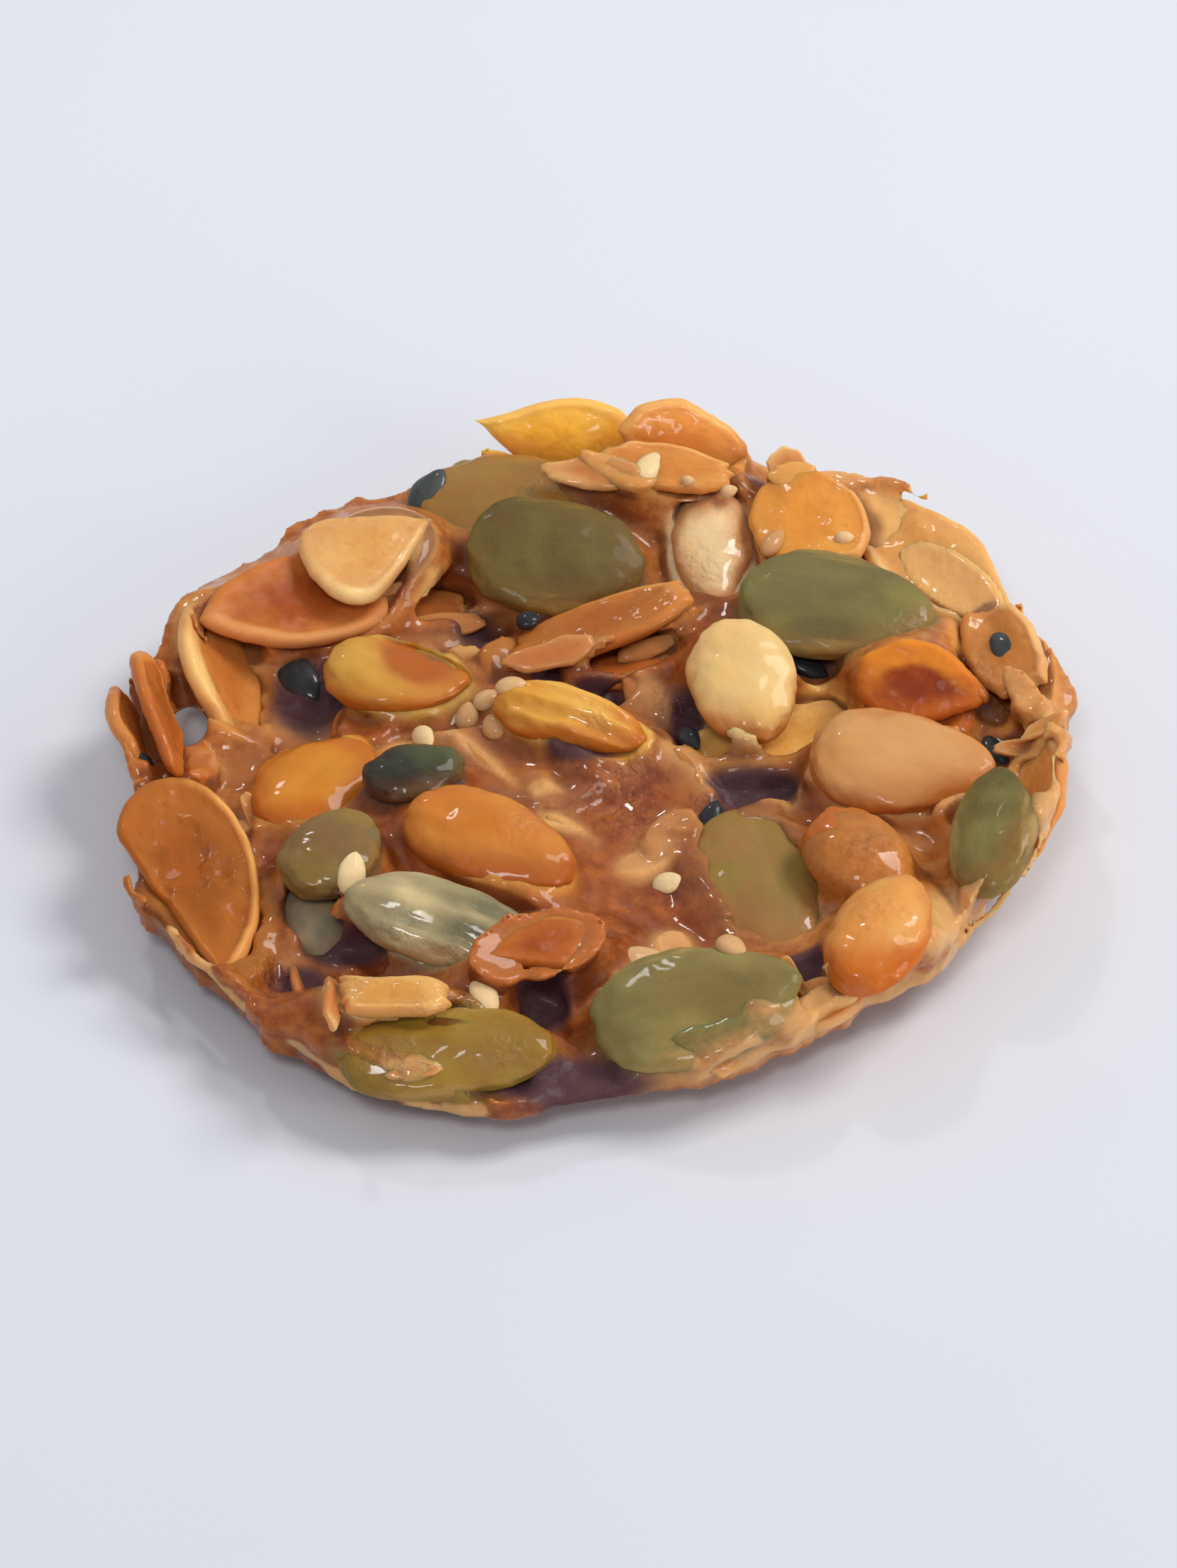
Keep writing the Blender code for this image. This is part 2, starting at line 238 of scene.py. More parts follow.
def toppingDistance(pose, points):
    # ellipsoid distance, or for a flake the distance to a dished oval plate
    local = toLocal(pose, points)
    half = np.array((pose["length"], pose["width"], pose["thickness"])) / 2
    s, t = local[..., 0] / half[0], local[..., 1] / half[1]
    height = local[..., 2] - pose["level"] - pose["dish"] * np.minimum(s * s + t * t, 1.6)
    if pose["kind"] == "almond_flake":
        share = np.sqrt(s * s + t * t) + 1e-6
        steep = np.sqrt((s / half[0]) ** 2 + (t / half[1]) ** 2) + 1e-6
        outside = share * (share - 1) / steep
        return cornerDistance(outside, np.abs(height) - half[2])
    h = height / half[2]
    share = np.sqrt(s * s + t * t + h * h) + 1e-6
    steep = np.sqrt((s / half[0]) ** 2 + (t / half[1]) ** 2 + (h / half[2]) ** 2) + 1e-6
    return share * (share - 1) / steep


# the caramel round: lengths in mm, directions of the compass in degrees
caramelForm = dict(
    radius=29.4,
    waves=((1, 1.2, 85), (2, 1.6, 62), (3, 0.45, 24), (4, 0.6, -11), (9, 0.3, 5), (13, 0.25, 11)),
    ragged=0.55, raggedGrain=2.2, flatShare=0.6, rimRise=3.0, riseSwing=0.8, riseTop=60,
    centreThickness=3.0, rimThickness=1.0, rimRounding=0.45, cell=0.34,
    mounds=0.5, moundGrain=4.2, fill=0.3, footRough=0.12, footGrain=1.6,
    # wider places and raised lips of the rim: compass, how far to each side, how much
    brims=((-50, 20, 1.4), (-8, 24, 0.5), (-142, 22, 1.9), (-106, 16, 0.7), (136, 28, 0.8)),
    lips=((-20, 24, 2.6), (-48, 20, 2.6), (-74, 10, 1.3), (-142, 24, 1.8), (-106, 16, 2.4),
          (40, 30, 1.4), (175, 16, 1.2), (132, 30, 1.0)),
    lipThickness=0.75, lipInset=0.75, lipLean=0.5, lipTaper=0.12, lipGrain=3.0,
    # how the caramel climbs the toppings, glues them and stays off their faces
    meniscusHeight=1.55, meniscusReach=0.8, shardClimb=0.6, glueReach=0.3, shardGlue=0.16,
    mountUpright=0.75, mountShare=0.78, mountSlope=0.7,
    clearEdge=0.84, clearRagged=0.12, clearHeight=2.6,
    clearWide=dict(melon_kernel_01=1.12, almond_flake_04=1.0, almond_flake_17=1.0),
    # how thick a skin of caramel lies on the toppings that have one
    veils=dict(pumpkin_seed_03=-0.05, pumpkin_seed_01=-0.1, almond_flake_11=0.0,
               melon_kernel_03=0.25, almond_flake_09=-0.1, almond_flake_24=0.12),
    rimVeils=("pumpkin_seed_08", "pumpkin_seed_09"), rimVeilFrom=1.1, rimVeilTo=2.6,
    # how softly each thing runs into the caramel
    blends=dict(lip=0.7, lumps=0.9, mounts=1.2, clear=0.5, glue=0.8, shards=0.4, sheets=0.7, veils=0.5,
                room=0.6, ridges=0.6, hollows=0.8),
)


def outlineRadius(angle):
    # a circle with a few slow waves
    radius = caramelForm["radius"] + 0.0 * angle
    for count, height, crest in caramelForm["waves"]:
        radius = radius + height * np.cos(count * (angle - math.radians(crest)))
    return radius


def sector(angle, compass, spread):
    # e to the minus (degrees from that compass direction / spread)^4
    apart = np.degrees(np.abs(np.angle(np.exp(1j * (angle - math.radians(compass))))))
    return np.exp(-(apart / spread) ** 4)


def roundBase(points):
    # a dished plate with a rounded rim, whose underside rises as the square of the way
    # outward, and a thin wall on the rim; room is above zero outside the whole dish
    form = caramelForm
    x, y, z = points[..., 0] - sight["shiftX"], points[..., 1] - sight["shiftY"], points[..., 2]
    angle, reach = np.arctan2(y, x), np.hypot(x, y)
    flat = np.stack([x, y, np.zeros_like(x)], -1)
    edge = outlineRadius(angle) + form["ragged"] * (roughNoise(flat, form["raggedGrain"], 11) - 0.5)
    for compass, spread, width in form["brims"]:
        edge = edge + width * sector(angle, compass, spread)
    share = np.minimum(reach / edge, 1.12)
    rise = form["rimRise"] + form["riseSwing"] * np.cos(angle - math.radians(form["riseTop"]))
    under = rise * np.clip((share - form["flatShare"]) / (1 - form["flatShare"]), 0, 2) ** 2
    thinner = (form["centreThickness"] - form["rimThickness"]) * np.minimum(share, 1) ** 3
    thickness = form["centreThickness"] - thinner
    mound = form["fill"] + form["mounds"] * roughNoise(flat, form["moundGrain"], 23)
    top = under + thickness + mound * (1 - np.minimum(share, 1) ** 6)
    foot = form["footRough"] * (1 + roughNoise(flat, form["footGrain"], 31))
    under = under + foot * smoothShare(share, 0.0, 0.2)
    middle, half = (top + under) / 2, (top - under) / 2
    rounding = np.minimum(half, form["rimRounding"])
    plate = cornerDistance(reach - edge + rounding, np.abs(z - middle) - half + rounding) - rounding
    crest = 0.0
    for compass, spread, height in form["lips"]:
        crest = np.maximum(crest, height * sector(angle, compass, spread))
    crest = crest * (0.75 + 0.5 * roughNoise(flat, form["lipGrain"], 47))
    above = np.maximum(z - top, 0)
    wallRadius = edge - form["lipInset"] + form["lipLean"] * (z - top)
    wallSide = np.abs(reach - wallRadius) - form["lipThickness"] / 2 + form["lipTaper"] * above
    wall = cornerDistance(wallSide, np.maximum(z - top - crest, under - z + 0.3))
    room = np.maximum(reach - edge - form["lipLean"] * above, under - z)
    return smoothUnion(plate, wall, form["blends"]["lip"]), room


def surfaceNet(field, origin, cell):
    # one point in every cell the surface crosses, at the mean of its edges' crossings,
    # and one quad round every lattice edge that the surface cuts
    solid = field < 0
    corners = [(i, j, k) for i in (0, 1) for j in (0, 1) for k in (0, 1)]
    size = np.array(field.shape) - 1

    def corner(array, place):
        return array[place[0]:place[0] + size[0], place[1]:place[1] + size[1], place[2]:place[2] + size[2]]

    count = sum(corner(solid, place).astype(np.int8) for place in corners)
    active = (count > 0) & (count < 8)
    index = np.full(active.shape, -1, np.int64)
    index[active] = np.arange(active.sum())
    base = np.argwhere(active).astype(float)
    total, crossings = np.zeros_like(base), np.zeros(len(base))
    for start in corners:
        for axis in range(3):
            if start[axis] == 0:
                end = tuple(1 if other == axis else start[other] for other in range(3))
                a, b = corner(field, start)[active], corner(field, end)[active]
                crosses = (a < 0) != (b < 0)
                share = np.where(crosses, a / np.where(crosses, a - b, 1), 0)
                place = base + start
                place[:, axis] += share
                total += np.where(crosses[:, None], place, 0)
                crossings += crosses
    points = origin + cell * total / crossings[:, None]
    quads = []
    for axis in range(3):
        first, second = (axis + 1) % 3, (axis + 2) % 3
        here = [slice(None)] * 3
        there = [slice(None)] * 3
        here[axis], there[axis] = slice(0, -1), slice(1, None)
        change = solid[tuple(here)] != solid[tuple(there)]
        edges = np.argwhere(change)
        inner = (edges[:, first] > 0) & (edges[:, second] > 0)
        inner &= (edges[:, first] < size[first]) & (edges[:, second] < size[second])
        edges = edges[inner]
        outward = solid[tuple(edges.T)]
        ring = []
        for back, side in ((1, 1), (0, 1), (0, 0), (1, 0)):
            cellPlace = edges.copy()
            cellPlace[:, first] -= back
            cellPlace[:, second] -= side
            ring.append(index[tuple(cellPlace.T)])
        ring = np.stack(ring, 1)
        quads.append(np.where(outward[:, None], ring, ring[:, ::-1]))
    return points, np.concatenate(quads)


def sampleField(field, points):
    # blend of the eight lattice values round each point
    place = (points - gridOrigin) / caramelForm["cell"]
    place = np.clip(place, 0, np.array(field.shape) - 1.001)
    base = place.astype(int)
    share = place - base
    total = 0.0
    for corner in range(8):
        step = np.array((corner & 1, corner >> 1 & 1, corner >> 2 & 1))
        at = base + step
        weight = np.prod(np.where(step == 1, share, 1 - share), axis=-1)
        total = total + weight * field[at[..., 0], at[..., 1], at[..., 2]]
    return total


def largeParts(points, faces, least=400):
    # every point takes the lowest number among the points it hangs together with;
    # parts with fewer points than the least are left out
    label = np.arange(len(points))
    starts, ends = faces.ravel(), np.roll(faces, -1, axis=1).ravel()
    changed = True
    while changed:
        before = label.copy()
        low = np.minimum(label[starts], label[ends])
        np.minimum.at(label, starts, low)
        np.minimum.at(label, ends, low)
        label = label[label]
        changed = (label != before).any()
    keep = np.bincount(label, minlength=len(points))[label] >= least
    number = np.cumsum(keep) - 1
    return points[keep], number[faces[keep[faces[:, 0]]]]


gridOrigin = np.array((-32.5, -34.0, -0.7))
gridTop = np.array((32.5, 34.0, 11.5))
gridCount = ((gridTop - gridOrigin) / caramelForm["cell"]).astype(int)
gridAxes = [gridOrigin[axis] + caramelForm["cell"] * np.arange(gridCount[axis]) for axis in range(3)]
gridPoints = np.stack(np.meshgrid(*gridAxes, indexing="ij"), -1)


def gridBox(lowest, highest):
    # the slices of the lattice that hold a box
    low = np.clip(((lowest - gridOrigin) / caramelForm["cell"]).astype(int), 0, gridCount - 2)
    high = np.clip(((highest - gridOrigin) / caramelForm["cell"]).astype(int) + 1, low + 1, gridCount)
    return tuple(slice(a, b) for a, b in zip(low, high))


def gridPart(pose, margin=3.0):
    half = np.array((pose["length"], pose["width"], pose["thickness"] + 1.5)) / 2
    reach = np.abs(pose["axes"]).T @ half + margin
    return gridBox(pose["centre"] - reach, pose["centre"] + reach)


farAway = 9.0
base, room = roundBase(gridPoints)
nearest = np.full(base.shape, farAway)
second, veiled = nearest.copy(), nearest.copy()
for name, pose in poses.items():
    part = gridPart(pose)
    distance = toppingDistance(pose, gridPoints[part])
    second[part] = np.where(distance < nearest[part], nearest[part], np.minimum(second[part], distance))
    nearest[part] = np.minimum(nearest[part], distance)
    if name in caramelForm["veils"]:
        cover = caramelForm["veils"][name] + 0.16 * roughNoise(gridPoints[part], 2.4, 71)
        veiled[part] = np.minimum(veiled[part], distance - cover)
    if name in caramelForm["rimVeils"]:
        outer = np.hypot(*np.moveaxis(gridPoints[part][..., :2], -1, 0)) - np.hypot(*pose["centre"][:2])
        ruffle = roughNoise(gridPoints[part], 1.8, 77)
        outer = smoothShare(outer + 0.9 * ruffle, caramelForm["rimVeilFrom"], caramelForm["rimVeilTo"])
        cover = outer * 0.5 - 0.3
        veiled[part] = np.minimum(veiled[part], distance - cover - 0.12 * ruffle)
solid = np.minimum(base, nearest)


def nearestOf(some, grow=None):
    # the lowest distance to any of some poses, over the whole lattice
    field = np.full(base.shape, farAway)
    for pose in some:
        part = gridPart(pose)
        distance = toppingDistance(pose, gridPoints[part])
        field[part] = np.minimum(field[part], distance if grow is None else distance - grow[part])
    return field


def slantOf(field, points, step):
    # central differences of a field; they point out of the solid
    return np.stack([sampleField(field, points + way) - sampleField(field, points - way)
                     for way in step * np.eye(3)], -1)


def seenPoint(x, y, push=0.0):
    # walks down the line of sight through (x, y) on the plan until the cookie is met;
    # a line that misses it goes back to the nearest surface in a few short steps
    slope = math.radians(sight["angle"])
    line = np.array((0.0, math.cos(slope), -math.sin(slope)))
    start = np.array((x + sight["shiftX"], y + sight["shiftY"], sight["level"])) - line * sight["reach"]
    ways = np.arange(0, 2 * sight["reach"], sight["step"])
    places = start + ways[:, None] * line
    depth = sampleField(solid, places)
    inside = (depth < 0) & (places[:, 2] > 0)
    met = inside.any()
    place = places[int(np.argmax(inside)) if met else int(np.argmin(depth + (places[:, 2] < 0.6)))]
    slant = unit(slantOf(solid, place, 0.35) + 1e-9)
    for step in range(0 if met else sight["returns"]):
        place = place - slant * np.clip(sampleField(solid, place), -0.6, 0.6)
        slant = unit(slantOf(solid, place, 0.35) + 1e-9)
    return place + push * line, slant


def leaningAxes(heading, lean, towards):
    # the heading of the long side, then a lean of the face towards a compass direction
    turn, tip, side = (math.radians(angle) for angle in (heading, lean, towards))
    long = np.array((math.cos(turn), math.sin(turn), 0.0))
    wide = np.array((-math.sin(turn), math.cos(turn), 0.0))
    axis = np.array((-math.sin(side), math.cos(side), 0.0))
    arms = (long, wide, np.array((0.0, 0.0, 1.0)))
    return np.stack([arm * math.cos(tip) + np.cross(axis, arm) * math.sin(tip)
                     + axis * (axis @ arm) * (1 - math.cos(tip)) for arm in arms])


# broken almond: x, y, length, width, heading, lean, towards, how far it is pushed in, and
# its shade from 0 pale to 1 dark
shards = (
    (-17.6, -19.6, 8.5, 2.6, -76, 62, 10, 0.4, 0.7), (-15.6, -20.6, 8.0, 2.0, -98, 60, 10, 0.3, 0.55),
    (-21.0, -3.0, 4.4, 1.2, -72, 30, -90, 0.1, 0.25), (-12.6, -7.4, 3.4, 1.0, -65, 30, -90, 0.1, 0.4),
    (-6.6, 1.4, 6.8, 1.4, -52, 35, -120, 0.0, 0.15), (-2.3, -2.6, 4.4, 1.5, -60, 34, -60, 0.0, 0.1),
    (-1.2, -5.2, 4.2, 1.3, -50, 30, -90, 0.0, 0.05), (-10.6, -27.0, 4.2, 1.2, 4, 35, -90, 0.2, 0.15),
    (12.6, -18.6, 4.2, 0.9, -52, 35, -60, 0.0, 0.1), (8.6, -26.0, 4.6, 1.6, 44, 34, -60, 0.0, 0.1),
    (-12.9, 18.6, 9.4, 1.7, 20, 36, -80, 0.2, 0.1), (-9.6, 15.6, 8.4, 2.0, 12, 30, -80, 0.2, 0.4),
    (-11.2, 14.6, 4.2, 1.8, -10, 25, -90, 0.2, 0.4), (3.6, 7.2, 6.8, 2.8, -66, 28, -120, 0.1, 0.45),
    (6.2, 1.2, 5.0, 1.6, -60, 32, -120, 0.0, 0.4), (28.6, 5.6, 4.6, 1.4, 18, 35, -120, 0.1, 0.05),
    (27.4, 3.4, 4.6, 1.4, -10, 30, -120, 0.1, 0.1), (-2.2, 12.8, 7.8, 2.4, 14, 26, -90, 0.1, 0.45),
    (3.6, 13.2, 6.0, 1.6, 20, 30, -90, 0.0, 0.3), (-27.6, 3.6, 4.6, 2.2, -80, 50, 0, 0.4, 0.45),
    (0.6, 31.0, 7.6, 2.6, -4, 26, -90, 0.3, 0.25), (13.0, 31.8, 3.6, 3.2, -20, 30, -90, 0.4, 0.1),
)
# almond under the caramel's skin, written the same way
sheets = (
    (-22.8, 2.6, 6.0, 4.6, -60, 10, -90, 0.2, 0.85), (5.4, -5.6, 4.0, 3.0, 60, 12, -90, 0.2, 0.6),
    (9.6, 29.6, 6.4, 3.2, -24, 26, -90, 0.1, 0.1), (18.4, 26.6, 10.4, 4.6, -34, 24, -120, 0.5, 0.0),
    (23.4, 19.6, 9.6, 3.6, -52, 24, -150, 0.4, 0.1), (25.2, 6.6, 5.0, 2.2, -60, 22, -120, 0.0, 0.4),
    (27.4, 8.6, 4.2, 1.6, -60, 25, -120, 0.0, 0.35), (19.6, -4.6, 4.0, 2.2, -40, 20, -90, 0.0, 0.2),
    (14.4, -21.6, 5.6, 3.0, 30, 14, -90, -0.2, 0.0), (4.4, -27.4, 4.2, 2.2, 10, 24, -90, 0.0, 0.3),
    (-20.4, 12.4, 3.4, 2.2, 20, 20, -90, 0.0, 0.3), (-19.0, 5.4, 3.4, 2.2, 60, 20, -60, 0.2, 0.9),
    (2.4, 26.0, 3.4, 2.6, -70, 20, -90, 0.1, 0.9),
)


def laidPoses(rows, thickness):
    # each row of a table as a pose on the cookie
    laid = []
    for x, y, length, width, heading, lean, towards, push, tone in rows:
        laid.append(dict(kind="almond_flake", centre=seenPoint(x, y, push)[0],
                         axes=leaningAxes(heading, lean, towards), length=length, width=width,
                         thickness=thickness, level=0.0, dish=0.15, tone=tone))
    return laid


shardPoses = laidPoses(shards, 0.7)

# lumps of almond buried under the caramel: seeded places, each an oval of its own size and turn
chooser = np.random.default_rng(5)
buried = dict(count=120, reach=26.5, size=(1.6, 4.6), wide=(0.45, 0.8), thick=(0.7, 1.3), sunk=(-0.7, -0.05),
              lean=35, dish=0.2)
buriedPoses = []
for index in range(buried["count"]):
    way, compass = math.sqrt(chooser.uniform()) * buried["reach"], chooser.uniform(0, 2 * math.pi)
    ground = way * np.array((math.cos(compass), math.sin(compass))) + (sight["shiftX"], sight["shiftY"])
    column = np.stack([np.full(90, ground[0]), np.full(90, ground[1]), np.linspace(9, 0.4, 90)], -1)
    place = column[int(np.argmax(sampleField(base, column) < 0))]
    length = chooser.uniform(*buried["size"])
    axes = leaningAxes(chooser.uniform(0, 360), chooser.uniform(0, buried["lean"]), chooser.uniform(0, 360))
    sunk, wide, thick, tone = (chooser.uniform(*span) for span in
                               (buried["sunk"], buried["wide"], buried["thick"], (0, 1)))
    buriedPoses.append(dict(kind="almond_flake", centre=place + (0, 0, sunk), axes=axes, length=length,
                            width=length * wide, thickness=thick, level=0.0, dish=buried["dish"], tone=tone))
sheetPoses = laidPoses(sheets, 0.9)
buriedPoses += sheetPoses


# thin ridges of caramel: half width, how far they stand, then their way as x, y on the plan
ridges = (
    (0.24, 0.12, (29.0, 2.6), (28.4, -4.5), (26.4, -9.6), (22.4, -15.4), (18.8, -19.6), (12.4, -23.8),
     (8.4, -26.6)),
    (0.22, 0.05, (-25.5, -14.4), (-23.7, -17.6), (-21.1, -20.8), (-18.1, -23.8), (-15.1, -26.8)),
    (0.22, 0.1, (-15.6, -26.6), (-14.2, -28.4), (-12.0, -29.6), (-9.4, -30.3), (-6.4, -30.6)),
    (0.22, 0.12, (0.4, -24.6), (3.4, -26.4), (6.6, -26.0), (9.4, -24.6), (12.2, -21.4)),
)
ridgeField = np.full(base.shape, farAway)
for halfWidth, stand, *way in ridges:
    knots = []
    for x, y in way:
        place, normal = seenPoint(x, y)
        knots.append(place + unit(normal + (0.0, -0.2, 0.6)) * stand)
    knots = np.array(knots)
    steps = np.linspace(0, len(knots) - 1, 6 * len(knots))
    path = np.stack([np.interp(steps, np.arange(len(knots)), knots[:, axis]) for axis in range(3)], -1)
    path = path + 0.35 * np.stack([latticeNoise(path + 40 * axis, 1.9, 61) for axis in range(3)], -1)
    for start, end in zip(path[:-1], path[1:]):
        part = gridBox(np.minimum(start, end) - 2.0, np.maximum(start, end) + 2.0)
        offset, span = gridPoints[part] - start, end - start
        share = np.clip(offset @ span / (span @ span + 1e-9), 0, 1)
        apart = np.linalg.norm(offset - share[..., None] * span, axis=-1) - halfWidth
        ridgeField[part] = np.minimum(ridgeField[part], apart)
print("ridges laid:", len(ridges))

form, blends = caramelForm, caramelForm["blends"]
shardField, lumps = nearestOf(shardPoses), nearestOf(buriedPoses)
ripple = roughNoise(gridPoints, 2.6, 5)
meniscus = np.exp(-(np.maximum(nearest, 0) / form["meniscusReach"]) ** 1.5)
shardMeniscus = np.exp(-(np.maximum(shardField, 0) / form["shardClimb"]) ** 1.5)
climb = np.maximum(form["meniscusHeight"] * (0.8 + 0.5 * ripple) * meniscus,
                   form["shardClimb"] * shardMeniscus)
body = smoothUnion(base, lumps, blends["lumps"]) - climb
for pose in poses.values():
    # a mound with sloping sides under each topping that lies fairly level
    if pose["axes"][2][2] > form["mountUpright"]:
        part = gridPart(pose, 7.0)
        local, across = planShare(pose, gridPoints[part])
        mount = (across - form["mountShare"]) * pose["width"] / 2 + form["mountSlope"] * local[..., 2]
        mount = np.maximum(mount, local[..., 2] + 0.2 + 0.4 * ripple[part])
        body[part] = smoothUnion(body[part], mount, blends["mounts"])
for name, pose in poses.items():
    # the faces of the toppings are kept clear
    if name not in form["veils"]:
        part = gridPart(pose)
        local, across = planShare(pose, gridPoints[part])
        edge = form["clearWide"].get(name, form["clearEdge"]) - form["clearRagged"] * ripple[part]
        height = local[..., 2] - pose["level"] - 0.1
        above = np.maximum(-height, height - form["clearHeight"])
        space = np.maximum((across - edge) * pose["width"] / 2, above)
        body[part] = carve(body[part], space, blends["clear"])
glue = np.maximum(nearest, second) - form["glueReach"] * (1.0 + 0.6 * ripple)
shardGlue = np.maximum(nearest, shardField) - form["shardGlue"] * (1 + ripple)
sheetField = nearestOf(sheetPoses, 0.12 + 0.1 * ripple)
body = smoothUnion(body, glue, blends["glue"])
body = smoothUnion(body, shardGlue, blends["shards"])
body = smoothUnion(body, sheetField, blends["sheets"])
body = smoothUnion(body, veiled, blends["veils"])
body = carve(body, -room, blends["room"])
body = smoothUnion(body, ridgeField, blends["ridges"])
body = body + 0.04 * latticeNoise(gridPoints, 1.3, 91)
body = np.maximum(body, 0.02 - gridPoints[..., 2])
print("caramel field ready:", body.shape)

# hollows between the toppings, carved and painted dark as shade on the caramel: x, y, then half sizes across,
# along and deep
hollows = (
    (-2.6, -20.4, 1.7, 2.2, 2.2), (13.3, -17.2, 1.1, 1.3, 1.3), (10.3, -0.8, 3.2, 1.3, 1.0),
    (-17.6, 8.0, 2.4, 3.2, 1.3), (-7.0, 15.4, 1.6, 1.2, 1.2), (4.0, 20.0, 1.2, 1.4, 1.2),
    (0.6, 8.8, 1.6, 0.9, 1.0), (6.2, 6.0, 1.0, 2.6, 1.2), (-2.8, 10.4, 1.0, 1.0, 1.0),
    (13.4, 12.6, 2.0, 1.2, 1.2), (-14.6, -15.8, 2.4, 1.3, 1.2), (-0.6, 4.0, 2.2, 0.9, 0.9),
    (8.2, -3.6, 0.9, 2.0, 0.9), (-9.6, 3.4, 1.4, 1.0, 0.9), (24.6, 2.2, 0.9, 1.4, 1.0),
    (-1.6, -28.3, 5.2, 1.8, 0.9), (-17.6, -18.6, 1.6, 1.0, 0.9),
)
# a gap through the rim: x, y, then half sizes across and along, as seen
gaps = ((-25.2, 5.6, 1.2, 2.1),)


def wholeCookie():
    # caramel, toppings and shards as one field
    return np.minimum(np.minimum(body, nearest), shardField)


solid = wholeCookie()
for x, y, across, along, deep in hollows:
    local = (gridPoints - seenPoint(x, y)[0]) / np.array((across, along, deep))
    pit = ((local ** 4).sum(-1) ** 0.25 - 1) * min(across, along, deep) + 0.5 * ripple
    body = carve(body, pit, blends["hollows"])
tilt = math.radians(sight["angle"])
for x, y, across, along in gaps:
    sideways = (gridPoints[..., 0] - x - sight["shiftX"]) / across
    rising = gridPoints[..., 1] - y - sight["shiftY"] + (gridPoints[..., 2] - sight["level"]) / math.tan(tilt)
    body = np.maximum(body, (1 - np.hypot(sideways, rising / along)) * across + 0.25 * ripple)
solid = wholeCookie()

roundPoints, roundFaces = largeParts(*surfaceNet(body, gridOrigin, caramelForm["cell"]))
print("caramel surface:", len(roundPoints), "points", len(roundFaces), "quads")


class Wire:
    # a socket that can be added, multiplied and so on; each sign adds its Math node
    def __init__(self, finish, socket):
        self.finish, self.socket = finish, socket

    def maths(self, operation, *values):
        return self.finish.node("ShaderNodeMath", {"operation": operation}, dict(enumerate(values)))

    def __add__(self, other):
        return self.maths("ADD", self, other)

    def __sub__(self, other):
        return self.maths("SUBTRACT", self, other)

    def __rsub__(self, other):
        return self.maths("SUBTRACT", other, self)

    def __mul__(self, other):
        return self.maths("MULTIPLY", self, other)

    __radd__, __rmul__ = __add__, __mul__

    def between(self, low, high):
        return self.finish.node("ShaderNodeMapRange", {"interpolation_type": "SMOOTHSTEP"},
                                {"Value": self, "From Min": low, "From Max": high})


class Finish:
    # one material, built round its Principled shader
    def __init__(self, name, **constants):
        self.material = bpy.data.materials.new(name)
        self.material.use_nodes = True
        self.tree = self.material.node_tree
        self.shader = self.tree.nodes["Principled BSDF"]
        for key, value in constants.items():
            self.shader.inputs[key.replace("_", " ")].default_value = value

    def node(self, kind, settings=None, sockets=None, output=0):
        made = self.tree.nodes.new(kind)
        for key, value in (settings or {}).items():
            if key == "stops":
                ramp = made.color_ramp
                while len(ramp.elements) < len(value):
                    ramp.elements.new(0.5)
                for element, (position, colour) in zip(ramp.elements, value):
                    element.position, element.color = position, (*colour, 1)
            else:
                setattr(made, key, value)
        for key, value in (sockets or {}).items():
            if isinstance(value, Wire):
                self.tree.links.new(value.socket, made.inputs[key])
            elif value is not None:
                made.inputs[key].default_value = value
        return Wire(self, made.outputs[output])

    def feed(self, **sockets):
        for key, value in sockets.items():
            self.tree.links.new(value.socket, self.shader.inputs[key.replace("_", " ")])
        return self.material

    def mix(self, share, first, second):
        first, second = [(*colour, 1) if isinstance(colour, tuple) else colour for colour in (first, second)]
        return self.node("ShaderNodeMix", {"data_type": "RGBA"}, {0: share, 6: first, 7: second}, 2)

    def shade(self, colour, value):
        # a colour made darker or lighter by a number
        if not isinstance(value, Wire):
            return self.mix(1 - value, colour, (0.0, 0.0, 0.0))
        grey = self.node("ShaderNodeCombineColor", None, {0: value, 1: value, 2: value})
        return self.node("ShaderNodeMix", {"data_type": "RGBA", "blend_type": "MULTIPLY"},
                         {0: 1.0, 6: colour, 7: grey}, 2)

    def mask(self, name, output="Fac"):
        return self.node("ShaderNodeAttribute", {"attribute_name": name}, None, output)

    def noise(self, size, detail=3.0, rough=0.5, stretch=(1, 1, 1), where=None):
        # a noise whose blobs are about size mm, on the object or on the piece's own grain
        where = where or self.node("ShaderNodeTexCoord", None, None, "Object")
        placed = self.node("ShaderNodeMapping", None, {"Vector": where, "Scale": stretch})
        return self.node("ShaderNodeTexNoise", None,
                         {"Vector": placed, "Scale": 1 / (size * mm), "Detail": detail, "Roughness": rough})

    def grain(self):
        return self.node("ShaderNodeAttribute", {"attribute_name": "grain"}, None, "Vector")

    def crinkle(self, gloss):
        # small sharp wrinkles that only rise in the wet spots
        return self.noise(0.7, 2.0, 0.5).between(0.35, 0.65) * gloss * 1.3

    def bump(self, height, distance, strength=1.0):
        return self.node("ShaderNodeBump", None,
                         {"Height": height, "Distance": distance * mm, "Strength": strength})


